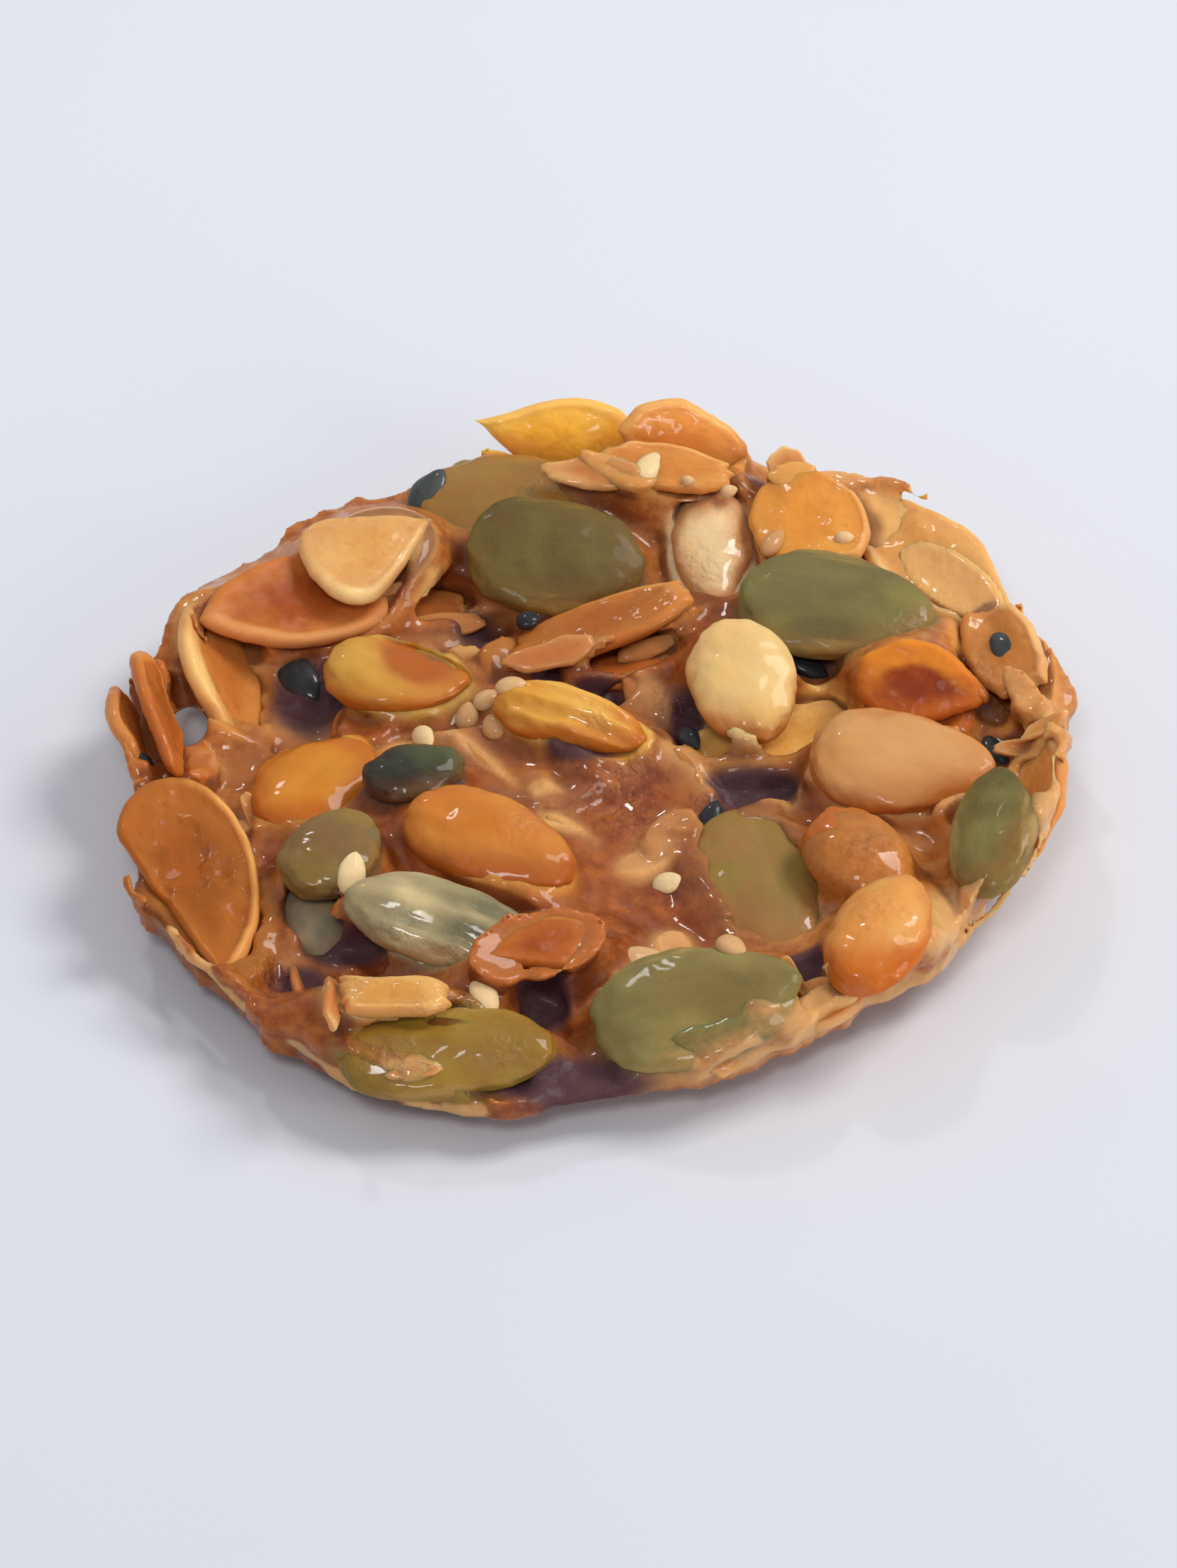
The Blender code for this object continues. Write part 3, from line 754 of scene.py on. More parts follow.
# wet, wrinkled spots: x, y and size on the plan
wetSpots = (
    (2.7, 0.3, 1.6), (2.5, -3.0, 1.8), (1.3, -14.3, 1.0), (-19.5, -18.0, 1.5), (-9.5, -21.3, 1.0),
    (7.5, -2.0, 1.2), (7.4, 21.6, 1.9), (9.2, 24.6, 1.0), (17.5, -12.0, 1.7), (-4.0, -3.6, 1.6),
    (-3.0, 29.6, 1.2), (-18.2, 10.6, 1.2), (-15.0, -9.8, 0.9), (-11.6, -13.6, 1.9), (-7.8, -15.6, 1.6),
    (17.4, -5.6, 1.4), (-11.6, -25.2, 1.6), (-5.0, -25.4, 1.4), (5.0, 8.2, 1.2), (-7.4, -20.4, 0.8),
    (13.6, -12.4, 1.2), (20.0, 15.4, 1.2), (-23.4, -6.4, 0.6), (-13.4, -17.4, 1.2), (24.6, 11.0, 1.2),
    (0.4, 6.8, 1.2),
)
wetPlaces = [(seenPoint(x, y)[0], size) for x, y, size in wetSpots]


def glossOf(points):
    # 1 in the middle of a wet spot, falling as a bell
    gloss = np.zeros(len(points))
    for place, size in wetPlaces:
        gloss = np.maximum(gloss, np.exp(-(np.linalg.norm(points - place, axis=1) / size) ** 2))
    return gloss


def glazeAndShadeOf(points, pose):
    # 1 on the side that leans down and to the front: the glaze gathers there, and it is also painted shade on
    # the side turned away from the light above and behind
    height = (points - pose["centre"]) @ np.array((0.0, 0.64, 0.77))
    return 1 - smoothShare(height / np.abs(height).max(), -0.7, 0.5)


def soakOf(points):
    # 1 where a topping stands in the caramel, 0 about two millimetres above it
    return 1 - smoothShare(sampleField(body, points), -0.2, 1.8)


def seedSkin(pose, look, seed, rows=60, columns=64):
    # s = -cos u runs from the blunt to the sharp tip and the outline closes as
    # (1 + s)^blunt (1 - s)^sharp; v turns round it; folds run along the length
    kind = kinds[pose["kind"]]
    u = np.linspace(0, math.pi, rows + 2)[:, None]
    v = np.linspace(0, 2 * math.pi, columns, endpoint=False)[None, :]
    s = -np.cos(u) + 0 * v
    blunt, sharp = kind["blunt"], kind["sharp"]
    widest = (blunt - sharp) / (blunt + sharp)
    peak = (1 + widest) ** blunt * (1 - widest) ** sharp
    outline = np.maximum(1 + s, 0) ** blunt * np.maximum(1 - s, 0) ** sharp / peak
    side, up = np.cos(v) + 0 * u, np.sin(v) + 0 * u
    full = np.sign(up) * np.abs(up) ** kind["edge"]
    local = np.stack([s, outline * side, outline ** kind["taper"] * full], -1)
    half = np.array((pose["length"], pose["width"], pose["thickness"])) / 2
    wander = 0.14 * roughNoise(local + seed, 0.7, 350 + seed)
    folds = np.cos(look.get("foldCount", 3) * math.pi * (local[..., 1] + 0.15 * s + wander))
    folds = look.get("folds", 0.0) * folds
    swell = 1 + look.get("swell", 0.08) * roughNoise(local * (1.7, 1.1, 1.1) + seed, 1.0, 300 + seed)
    points = local * half * (swell[..., None])
    points[..., 2] += folds * (1 - s * s) * smoothShare(up, 0.0, 0.5) * (1 - np.abs(local[..., 1]) ** 3)
    if "dent" in look:
        alongAt, acrossAt, wide, deep = look["dent"]
        apart = np.hypot(s - alongAt, (local[..., 1] - acrossAt) * half[1] / half[0]) / wide
        points[..., 2] -= deep * np.exp(-apart ** 4) * smoothShare(up, 0.0, 0.4)
    points += 0.04 * np.stack([roughNoise(points + 50 * axis, 1.1, 400 + seed) for axis in range(3)], -1)
    masks = dict(tip=closeSkin(s), side=closeSkin(np.abs(local[..., 1])), up=closeSkin(up))
    return closeSkin(points), skinFaces(rows, columns), masks


def looksOf(kind, keys, rows):
    # gives the rows of a table their names in order: kind_01, kind_02 and so on
    return {f"{kind}_{number:02d}": dict(zip(keys, row), **more)
            for number, (*row, more) in enumerate(rows, 1)}


dull = dict(coat=0.06, wet=0.0)
seedLooks = {
    # clouded skin and its patches, the light clouds, the border (pale glaze, lightened as painted highlight);
    # then what is special
    **looksOf("pumpkin_seed", ("skin", "patch", "light", "edge"), (
        ((150, 124, 66), (138, 108, 54), (152, 126, 58), (190, 132, 62), dict(veil=0.4)),
        ((140, 136, 112), (108, 106, 94), (178, 164, 126), (170, 144, 106), dict(veil=0.15, wet=0.9)),
        ((118, 108, 66), (102, 92, 58), (134, 126, 64), (154, 122, 72), dict(veil=0.3)),
        # this seed's pale light clouds stand partly for painted sheen on its glaze
        ((160, 146, 106), (112, 112, 84), (224, 200, 148), (188, 164, 118),
         dict(veil=0.2, wet=0.8, folds=0.3, foldCount=2.4)),
        ((162, 126, 78), (152, 112, 66), (136, 126, 58), (176, 136, 84), dict(dull, veil=0.3)),
        ((62, 64, 50), (46, 48, 42), (92, 94, 62), (110, 100, 62), dict(veil=0.1, wet=0.6)),
        ((126, 112, 62), (98, 90, 52), (146, 136, 76), (172, 154, 96), dict(dull, veil=0.1)),
        ((146, 124, 50), (134, 108, 44), (168, 150, 66), (178, 146, 80),
         dict(veil=0.15, wet=0.5, folds=0.24, foldCount=2)),
        ((114, 120, 72), (104, 106, 64), (150, 150, 94), (180, 152, 92), dict(dull, veil=0.0)),
        ((108, 92, 52), (98, 82, 48), (116, 102, 50), (152, 122, 60), dict(dull, veil=0.0)),
        ((122, 112, 70), (108, 98, 62), (140, 134, 74), (168, 138, 78), dict(dull, veil=0.0)),
    )),
    # skin and its patches, the amber of the belly; then what is special
    **looksOf("melon_kernel", ("skin", "patch", "low"), (
        ((238, 208, 158), (230, 190, 132), (216, 166, 96), dict(wet=0.5, bathed=0.2)),
        ((216, 146, 54), (204, 126, 36), (186, 106, 36), dict()),
        ((188, 122, 56), (172, 100, 40), (170, 90, 44), dict(swell=0.16)),
        ((212, 168, 84), (200, 146, 60), (178, 110, 40),
         dict(spot=(154, 86, 44), dent=(0.25, 0.45, 0.75, 1.0))),
        ((226, 166, 94), (220, 142, 60), (196, 100, 28), dict(wet=0.7, bathed=1.0)),
        ((232, 196, 132), (226, 182, 110), (206, 144, 62), dict(wet=0.2, swell=0.11)),
        ((232, 176, 84), (218, 150, 52), (190, 116, 40), dict(folds=0.26, foldCount=3, wet=0.5)),
        ((212, 156, 98), (204, 144, 84), (184, 114, 60), dict(wet=0.1)),
        ((212, 140, 64), (198, 118, 44), (166, 90, 38), dict(wet=0.5, bathed=0.9)),
    )),
}
glazeTint, soakTint = glazedColour(150, 98, 56), glazedColour(186, 96, 34)


def seedFinish(name, look, pose):
    # green seeds are clouded and streaked along their length and veiled with glaze in
    # patches, with a pale glaze border lightened as painted highlight; pale kernels go from cream on top to
    # amber below and at the tips, and their lower front side takes amber glaze and painted shade
    finish = Finish(name, Subsurface_Weight=0.35, Subsurface_Radius=(1.0, 0.45, 0.18),
                    Subsurface_Scale=0.0014, Specular_IOR_Level=0.12, Coat_Roughness=0.06, IOR=1.46)
    grain = finish.grain()
    blotch = finish.noise(4.2, 3.0, 0.5, (0.6, 1, 1), grain).between(0.3, 0.7)
    streak = finish.noise(0.9, 4.0, 0.6, (0.22, 1, 1), grain).between(0.3, 0.7)
    fine = finish.noise(0.35, 3.0, 0.6)
    side, up, tip = finish.mask("side"), finish.mask("up"), finish.mask("tip")
    colour = finish.mix(blotch, glazedColour(*look["skin"]), glazedColour(*look["patch"]))
    if "light" in look:
        glow = finish.noise(5.5, 2.0, 0.5, (1, 1, 1), grain).between(0.4, 0.7) * 0.8
        colour = finish.mix(glow, colour, glazedColour(*look["light"]))
        # the pale border is caramel film at the seed's edge, lightened as a painted highlight
        borderSheen = (side + (streak - 0.5) * 0.25).between(0.72, 1.0) * up.between(-0.2, 0.2)
        colour = finish.mix(borderSheen * 0.7, colour, glazedColour(*look["edge"]))
        veil = finish.noise(3.6, 4.0, 0.6).between(0.60 - 0.3 * look["veil"], 0.82 - 0.1 * look["veil"])
        colour = finish.mix(veil * 0.8 * look["veil"], colour, glazeTint)
        speckle = finish.noise(0.22, 2.0, 0.6).between(0.6, 0.75)
        colour = finish.mix(speckle * 0.3, colour, glazedColour(*look["edge"]))
        furrow, soaked = 0.09, 0.2
    else:
        belly = 1 - up.between(-0.45, 0.7)
        # amber glaze that gathers low, with painted shade on the lower front side
        belly = belly + finish.mask("bath") * look.get("bathed", 0.45)
        belly = belly + (tip * tip).between(0.55, 1.0) * 0.5 + (streak - 0.5) * 0.2
        colour = finish.mix(belly.between(0.15, 1.1) * 0.9, colour, glazedColour(*look["low"]))
        if "spot" in look:
            along, across = look["dent"][0] * pose["length"] / 2, look["dent"][1] * pose["width"] / 2
            apart = finish.node("ShaderNodeVectorMath", {"operation": "DISTANCE"},
                                {0: finish.mask("local", "Vector"), 1: (along * mm, across * mm, 0.0)}, 1)
            spot = 1 - (apart + (fine - 0.5) * 0.0006).between(0.0018, 0.0030)
            colour = finish.mix(spot * 0.9, colour, glazedColour(*look["spot"]))
        furrow, soaked = 0.06, 0.7
    soak = (finish.mask("soak") + (fine - 0.5) * 0.4).between(0.15, 0.95)
    colour = finish.mix(soak * soaked, colour, soakTint)
    colour = finish.shade(colour, 0.95 - furrow / 2 + streak * furrow + fine * 0.06)
    gloss = finish.mask("gloss")
    spots = finish.noise(1.5, 3.0, 0.6).between(0.58, 0.68) * look.get("wet", 0.12)
    wet = (spots + soak * 0.3 + gloss).between(0.0, 1.0)
    height = fine * 0.25 + finish.noise(0.8, 3.0, 0.55) * 0.8 + streak * furrow * 1.2 + finish.crinkle(gloss)
    return finish.feed(Base_Color=colour, Roughness=0.42 - wet * 0.22 + fine * 0.1,
                       Coat_Weight=look.get("coat", 0.22) + wet * 0.7, Normal=finish.bump(height, 0.12, 0.6))


def grainOf(points, pose, index):
    # a point in the piece's own axes, in metres, moved so that no two pieces match
    return (toLocal(pose, points) + np.array((31.0, 17.0, 7.0)) * index) * mm


toppingColours = {}
for index, (name, look) in enumerate(sorted(seedLooks.items())):
    pose = poses[name]
    points, faces, masks = seedSkin(pose, look, index)
    points = toPlace(pose, points)
    title = ("pumpkinSeed" if "pumpkin" in name else "melonKernel") + name[-2:]
    masks.update(soak=soakOf(points), gloss=glossOf(points), bath=glazeAndShadeOf(points, pose))
    piece = makePiece(title, points, faceOutward(points, faces), masks,
                      vectors=dict(grain=grainOf(points, pose, index), local=toLocal(pose, points) * mm))
    piece.data.materials.append(seedFinish(title + "Skin", look, pose))
    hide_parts(name)
    toppingColours[name] = glazedColour(*look["skin"])
print("seeds and kernels made:", len(seedLooks))


def flakeSkin(pose, look, seed, columns=120, topRings=20, rimRings=11, lowRings=12):
    # rings run from the middle of the top face, over a round edge, to the middle of
    # the underside; each ring is a share of a wavy oval, clipped where a side broke off
    kind = kinds["almond_flake"]
    half = np.array((pose["length"], pose["width"], pose["thickness"] * look.get("thick", 1.0))) / 2
    edge = min(0.25, half[2] / half[1] * 0.9)
    turn = np.linspace(0, math.pi, rimRings)
    top = np.linspace(0, 1 - edge, topRings)
    share = np.concatenate([top[:-1], 1 - edge + edge * np.sin(turn), np.linspace(1 - edge, 0, lowRings)[1:]])
    level = np.concatenate([np.ones(topRings - 1), np.cos(turn), -np.ones(lowRings - 1)])
    v = np.linspace(0, 2 * math.pi, columns, endpoint=False)
    s = np.cos(v)
    blunt, sharp = look.get("blunt", kind["blunt"]), look.get("sharp", kind["sharp"])
    widest = (blunt - sharp) / (blunt + sharp)
    ahead = s if "point" not in look or compassOf(pose, look["point"])[0] > 0 else -s
    outline = np.maximum(1 + ahead, 0) ** blunt * np.maximum(1 - ahead, 0) ** sharp
    outline = outline / ((1 + widest) ** blunt * (1 - widest) ** sharp)
    rim = np.stack([s * half[0], np.sign(np.sin(v)) * outline * half[1]], -1)
    circle = np.stack([np.cos(v), np.sin(v), np.full_like(v, seed * 3.7)], -1)
    wavy = look.get("wavy", 0.08)
    rim = rim * (1 - 0.6 * wavy + wavy * roughNoise(circle, 0.9, 500 + seed, 4))[:, None]
    chips = np.random.default_rng(1000 + seed)
    clips = [(compassOf(pose, compass), reach) for compass, reach in look.get("broken", ())]
    for chip in range(look.get("chips", 3)):
        way = chips.uniform(0, 2 * math.pi)
        clips.append((np.array((math.cos(way), math.sin(way))), chips.uniform(0.78, 0.97)))
    for away, reach in clips:
        along = rim @ away
        jag = 1 + 0.06 * roughNoise(circle * 2.5, 0.8, 600 + seed)
        limit = reach * np.abs(along).max() * jag
        rim = rim * np.where(along > limit, limit / np.maximum(along, 1e-6), 1.0)[:, None]
    x, y = share[:, None] * rim[None, :, 0], share[:, None] * rim[None, :, 1]
    flat = np.stack([x / half[0], y / half[1], np.full_like(x, seed * 5.1)], -1)
    spread = np.minimum(flat[..., 0] ** 2 + flat[..., 1] ** 2, 1.2)
    bowl = look.get("bowl", 0.3)
    middle = pose["level"] + pose["dish"] * (bowl * spread + (1 - bowl) * 0.5)
    middle = middle + look.get("curl", 0.32) * roughNoise(flat, 1.2, 700 + seed, 2)
    # the rim is palest on the side towards rimTurn: painted light on that edge, as well as the thin edge's
    # paler colour
    facing = np.cos(v - look["rimTurn"]) * 0.5 + 0.5
    rimWidth = look.get("rimWidth", 0.3)
    rimShare = smoothShare(share, 1 - rimWidth, 1 - 0.35 * rimWidth)[:, None]
    rimShare = rimShare * (0.12 + 0.88 * facing[None, :] ** 2)
    thick = 1 + look.get("ridge", 0.1) * rimShare * (level[:, None] > -0.5)
    thick = thick * (1 - 0.35 * share[:, None] ** 3 * (1 - rimShare)) - 0.08 * (1 - share[:, None] ** 2)
    z = middle + level[:, None] * half[2] * thick
    z = z + 0.09 * roughNoise(np.stack([x, y, z + seed], -1), 1.3, 800 + seed)
    pits = smoothShare(roughNoise(np.stack([x, y, 0 * x + seed], -1), 2.0, 850 + seed), 0.1, 0.7)
    z = z - 0.3 * look.get("pits", 0.0) * pits * (level[:, None] > 0) * (1 - share[:, None] ** 4)
    local = np.stack([x, y, z], -1)
    whole = local.reshape(len(share), columns, 3)
    points = np.concatenate([whole[:1].mean(1), whole[1:-1].reshape(-1, 3), whole[-1:].mean(1)])
    masks = dict(rim=closeSkin(rimShare), share=closeSkin(np.repeat(share[:, None], columns, 1)))
    return points, skinFaces(len(share) - 2, columns), masks


def compassOf(pose, compass):
    # a direction of the compass as seen in the flake's own plane
    angle = math.radians(compass)
    flat = np.array((math.cos(angle), math.sin(angle), 0.0))
    return unit(np.array((flat @ pose["axes"][0], flat @ pose["axes"][1])))


# face, its middle and the pale rim, where on the compass that rim is, then what is special; the pale rim is
# the thin edge's own paler colour, lightened on that side as painted light
flakeLooks = looksOf("almond_flake", ("face", "core", "rim", "rimAt"), (
    ((255, 194, 84), (255, 182, 62), (255, 188, 96), 90,
     dict(bowl=-0.7, curl=0.15, wavy=0.05, point=170, sharp=1.05, chips=0)),
    ((232, 160, 82), (226, 146, 62), (240, 174, 100), 90, dict(bowl=-0.5, curl=0.15, chips=2)),
    ((222, 156, 82), (212, 140, 66), (232, 176, 106), 90, dict(broken=((0, 0.8),))),
    ((255, 204, 126), (250, 190, 106), (255, 214, 146), 200, dict(wavy=0.12, ridge=0.3)),
    ((236, 166, 76), (230, 152, 62), (236, 178, 108), -10, dict(ridge=0.2, rimWidth=0.16, chips=1)),
    ((186, 114, 56), (170, 96, 44), (214, 152, 88), 180, dict(broken=((90, 0.7),))),
    ((180, 102, 44), (160, 84, 34), (204, 132, 64), 90, dict()),
    ((206, 140, 72), (188, 114, 54), (240, 190, 118), 200,
     dict(ridge=0.35, rimWidth=0.6, bowl=0.8, chips=1)),
    ((182, 98, 46), (166, 78, 34), (204, 130, 66), 90, dict(broken=((-90, 0.5),))),
    ((192, 120, 64), (178, 102, 52), (214, 150, 90), -30, dict(broken=((180, 0.7),), sharp=0.8)),
    ((160, 112, 76), (148, 100, 70), (216, 166, 110), 50, dict(ridge=0.3)),
    ((255, 206, 116), (252, 190, 94), (246, 196, 118), 60, dict(wavy=0.1)),
    ((186, 112, 56), (168, 90, 42), (212, 146, 80), 80, dict()),
    ((204, 134, 66), (186, 108, 48), (228, 166, 98), 20, dict(broken=((-90, 0.6),))),
    ((168, 104, 42), (136, 78, 26), (242, 174, 98), -10,
     dict(ridge=0.45, rimWidth=0.2, pits=1.0, bowl=0.3, wavy=0.05, curl=0.12, broken=((211, 0.5),),
          chips=0, wet=0.2, coat=0.12, point=-60, sharp=0.75)),
    ((230, 164, 90), (222, 148, 72), (240, 192, 126), 90, dict(wavy=0.12)),
    ((220, 154, 84), (206, 132, 62), (238, 186, 120), 0, dict(wavy=0.12, broken=((-90, 0.7),))),
    ((244, 180, 106), (236, 162, 82), (240, 188, 124), -60, dict(wavy=0.12)),
    ((226, 180, 108), (212, 154, 76), (238, 186, 112), -90,
     dict(thick=1.2, bowl=-0.2, broken=((180, 0.72), (0, 0.86), (90, 0.72), (-90, 0.8)), chips=1)),
    ((200, 124, 64), (150, 72, 34), (216, 154, 94), -90,
     dict(ridge=0.25, rimWidth=0.34, bowl=0.6, chips=1, wet=0.0, coat=0.03, blunt=0.75, sharp=0.75)),
    ((232, 184, 116), (226, 170, 98), (244, 204, 140), -70,
     dict(ridge=0.2, bowl=-0.1, broken=((110, 0.75),), rimWidth=0.3, point=-10, sharp=1.25, chips=0,
          wet=0.3)),
    ((182, 118, 54), (164, 96, 40), (216, 150, 82), 40, dict(thick=1.2, wavy=0.1)),
    ((192, 104, 42), (136, 56, 30), (226, 140, 46), 85,
     dict(ridge=0.1, rimWidth=0.75, bowl=-0.2, broken=((-80, 0.7),), chips=1, wet=0.0, coat=0.05)),
    ((180, 106, 50), (140, 70, 36), (206, 134, 68), 120,
     dict(broken=((-90, 0.45),), thick=1.2, wet=0.2, coat=0.05)),
))


def flakeFinish(name, face, core, rim, wetShare=1.0, coat=0.24):
    # toasted face, darker in the middle, speckled with brown, and a paler edge that is partly painted light;
    # the foot is soaked with caramel; each colour is a colour or the name of an attribute
    finish = Finish(name, Subsurface_Weight=0.5, Subsurface_Radius=(1.0, 0.42, 0.15),
                    Subsurface_Scale=0.0018, Specular_IOR_Level=0.12, Coat_Roughness=0.06, IOR=1.48)
    face, core, rim = [finish.mask(colour, "Color") if isinstance(colour, str) else glazedColour(*colour)
                       for colour in (face, core, rim)]
    grain = finish.grain()
    cloud = finish.noise(2.6, 4.0, 0.6, (0.6, 1, 1), grain)
    streak = finish.noise(0.7, 4.0, 0.6, (0.3, 1, 1), grain)
    fine = finish.noise(0.3, 3.0, 0.6)
    share, paleRimAndLight = finish.mask("share"), finish.mask("rim")
    inner = 1 - (share + (cloud - 0.5) * 1.1).between(0.25, 0.9)
    colour = finish.mix(inner, face, core)
    speck = finish.noise(0.9, 3.0, 0.6).between(0.6, 0.72) * 0.35
    colour = finish.mix(speck, colour, finish.shade(core, 0.6))
    # pale rim: the thin edge's own colour with painted light
    colour = finish.mix((paleRimAndLight + (streak - 0.5) * 0.4).between(0.15, 0.75), colour, rim)
    soak = (finish.mask("soak") + (fine - 0.5) * 0.5).between(0.1, 0.95)
    colour = finish.mix(soak * 0.45, colour, glazedColour(184, 94, 36))
    colour = finish.shade(colour, 0.88 + streak * 0.18 + fine * 0.08)
    gloss = finish.mask("gloss")
    spots = finish.noise(1.5, 3.0, 0.6).between(0.6, 0.7)
    wet = ((spots + soak * 0.2) * wetShare + gloss).between(0.0, 1.0)
    height = fine * 0.25 + streak * 0.5 + cloud * 0.8 + finish.crinkle(gloss)
    return finish.feed(Base_Color=colour, Roughness=0.42 - wet * 0.2 + fine * 0.1,
                       Coat_Weight=coat + wet * 0.7, Normal=finish.bump(height, 0.14, 0.6))


for index, (name, look) in enumerate(sorted(flakeLooks.items())):
    pose = poses[name]
    look = dict(look, rimTurn=math.atan2(*compassOf(pose, look["rimAt"])[::-1]))
    points, faces, masks = flakeSkin(pose, look, index)
    points = toPlace(pose, points)
    masks.update(soak=soakOf(points), gloss=glossOf(points))
    title = "almondFlake" + name[-2:]
    piece = makePiece(title, points, faceOutward(points, faces), masks,
                      vectors=dict(grain=grainOf(points, pose, 60 + index)))
    piece.data.materials.append(flakeFinish(title + "Toast", look["face"], look["core"], look["rim"],
                                            look.get("wet", 0.7), look.get("coat", 0.2)))
    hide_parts(name)
    toppingColours[name] = glazedColour(*look["face"])
print("almond flakes made:", len(flakeLooks))


def joinSkins(skins):
    # several skins as one: faces are renumbered, masks and vectors are run together
    points, faces, masks, count = [], [], {}, 0
    for skin, skinFace, skinMasks in skins:
        points.append(skin)
        faces.append(skinFace + count)
        count += len(skin)
        for key, value in skinMasks.items():
            masks.setdefault(key, []).append(value)
    masks = {key: np.concatenate(value) for key, value in masks.items()}
    return np.concatenate(points), np.concatenate(faces), masks


def shardColours(tone):
    # pale shards are the colour of fresh almond, dark ones of burnt sugar
    pale = np.array((glazedColour(232, 178, 112), glazedColour(222, 160, 92), glazedColour(240, 194, 130)))
    dark = np.array((glazedColour(156, 84, 40), glazedColour(136, 64, 32), glazedColour(180, 108, 58)))
    return pale + (dark - pale) * tone


skins = []
for index, pose in enumerate(shardPoses):
    look = dict(rimTurn=1.0 * index, wavy=0.12, curl=0.3, sharp=0.5 + 0.07 * (index % 5), bowl=0.3,
                rimWidth=0.25, ridge=0.0, broken=((70 * index, 0.72),), chips=5)
    points, faces, masks = flakeSkin(pose, look, 100 + index, columns=44, topRings=8, rimRings=7, lowRings=5)
    placed = toPlace(pose, points)
    masks.update(soak=soakOf(placed), gloss=glossOf(placed))
    masks["grain"] = grainOf(placed, pose, 120 + index)
    for key, colour in zip(("face", "core", "pale"), shardColours(pose["tone"])):
        masks[key] = np.tile((*colour, 1), (len(points), 1))
    skins.append((placed, faceOutward(placed - placed.mean(0), faces), masks))
points, faces, masks = joinSkins(skins)
shardPiece = makePiece("almondShards", points, faces,
                       {key: masks[key] for key in ("rim", "share", "soak", "gloss")},
                       {key: masks[key] for key in ("face", "core", "pale")}, dict(grain=masks["grain"]))
shardPiece.data.materials.append(flakeFinish("almondShardToast", "face", "core", "pale"))
print("almond shards made:", len(shardPoses), "with", len(faces), "triangles")


# for the caramel's skin: what lies close under it and how thick it is
outward = slantOf(body, roundPoints, 0.3)
outward = outward / (np.linalg.norm(outward, axis=1, keepdims=True) + 1e-9)
film = np.zeros(len(roundPoints))
weight = np.full(len(roundPoints), 0.02)
below = weight[:, None] * np.array(glazedColour(150, 90, 50))
buriedColours = [shardColours(pose["tone"])[0] for pose in shardPoses + buriedPoses]
shown = [(pose, toppingColours[name]) for name, pose in poses.items()]
shown += list(zip(shardPoses + buriedPoses, buriedColours))
for pose, colour in shown:
    near = np.linalg.norm(roundPoints - pose["centre"], axis=1) < pose["length"] / 2 + 2
    cover = np.exp(-np.maximum(toppingDistance(pose, roundPoints[near]) - 0.08, 0) / 0.42)
    film[near] = np.maximum(film[near], cover)
    weight[near] += cover ** 2
    below[near] += cover[:, None] ** 2 * colour
below = below / weight[:, None]
film = np.maximum(film, 1 - smoothShare(sampleField(sheetField, roundPoints), 0.15, 0.7))
thinness = 1 - smoothShare(-sampleField(solid, roundPoints - 1.3 * outward), -0.5, 0.9)
# painted shade: the caramel is darkened towards maroon where other solids close in round it, as in a crease
crevice = np.maximum(1 - smoothShare(sampleField(solid, roundPoints + 1.1 * outward), -0.1, 0.9),
                     1 - smoothShare(sampleField(solid, roundPoints + 2.4 * outward), -0.3, 1.6))
# painted shade: the caramel in and round each hollow is coloured dark
soot = np.zeros(len(roundPoints))
for x, y, across, along, deep in hollows:
    gap = (roundPoints - seenPoint(x, y)[0]) / np.array((across, along, deep * 1.4))
    gap = np.linalg.norm(gap, axis=1)
    soot = np.maximum(soot, 1 - smoothShare(gap, 0.8, 1.5))
flatX, flatY = roundPoints[:, 0] - sight["shiftX"], roundPoints[:, 1] - sight["shiftY"]
compass, reach = np.arctan2(flatY, flatX), np.hypot(flatX, flatY)
rimward = smoothShare(reach / outlineRadius(compass), 0.86, 1.02)
amber = smoothShare(reach, 11, 23) * (0.3 + 0.7 * sector(compass, 10, 80))
amber = np.maximum(amber, 0.9 * smoothShare(reach, 17, 24) * sector(compass, 152, 60))
# the thin rim and ridges of caramel are paler; the rim's upper side on the near right is lightened further as
# painted light
pale = rimward * (0.1 + 0.75 * sector(compass, -36, 46)) * smoothShare(outward[:, 2], -0.6, 0.1)
pale = pale * (1 - 0.7 * film)
pale = np.maximum(pale, 0.9 - smoothShare(sampleField(ridgeField, roundPoints), 0.05, 0.5))
caramelMasks = dict(film=film, thin=thinness, crevice=crevice, soot=soot, amber=amber, pale=pale,
                    gloss=glossOf(roundPoints))
caramelPiece = makePiece("caramelRound", roundPoints, roundFaces, caramelMasks,
                         dict(below=np.concatenate([below, np.ones((len(below), 1))], 1)))
caramelColours = dict(dark=(106, 48, 24), middle=(142, 72, 34), light=(170, 96, 44), amber=(178, 98, 36),
                      gold=(204, 130, 62), crevice=(98, 42, 28), pale=(212, 164, 106), soot=(82, 58, 64))


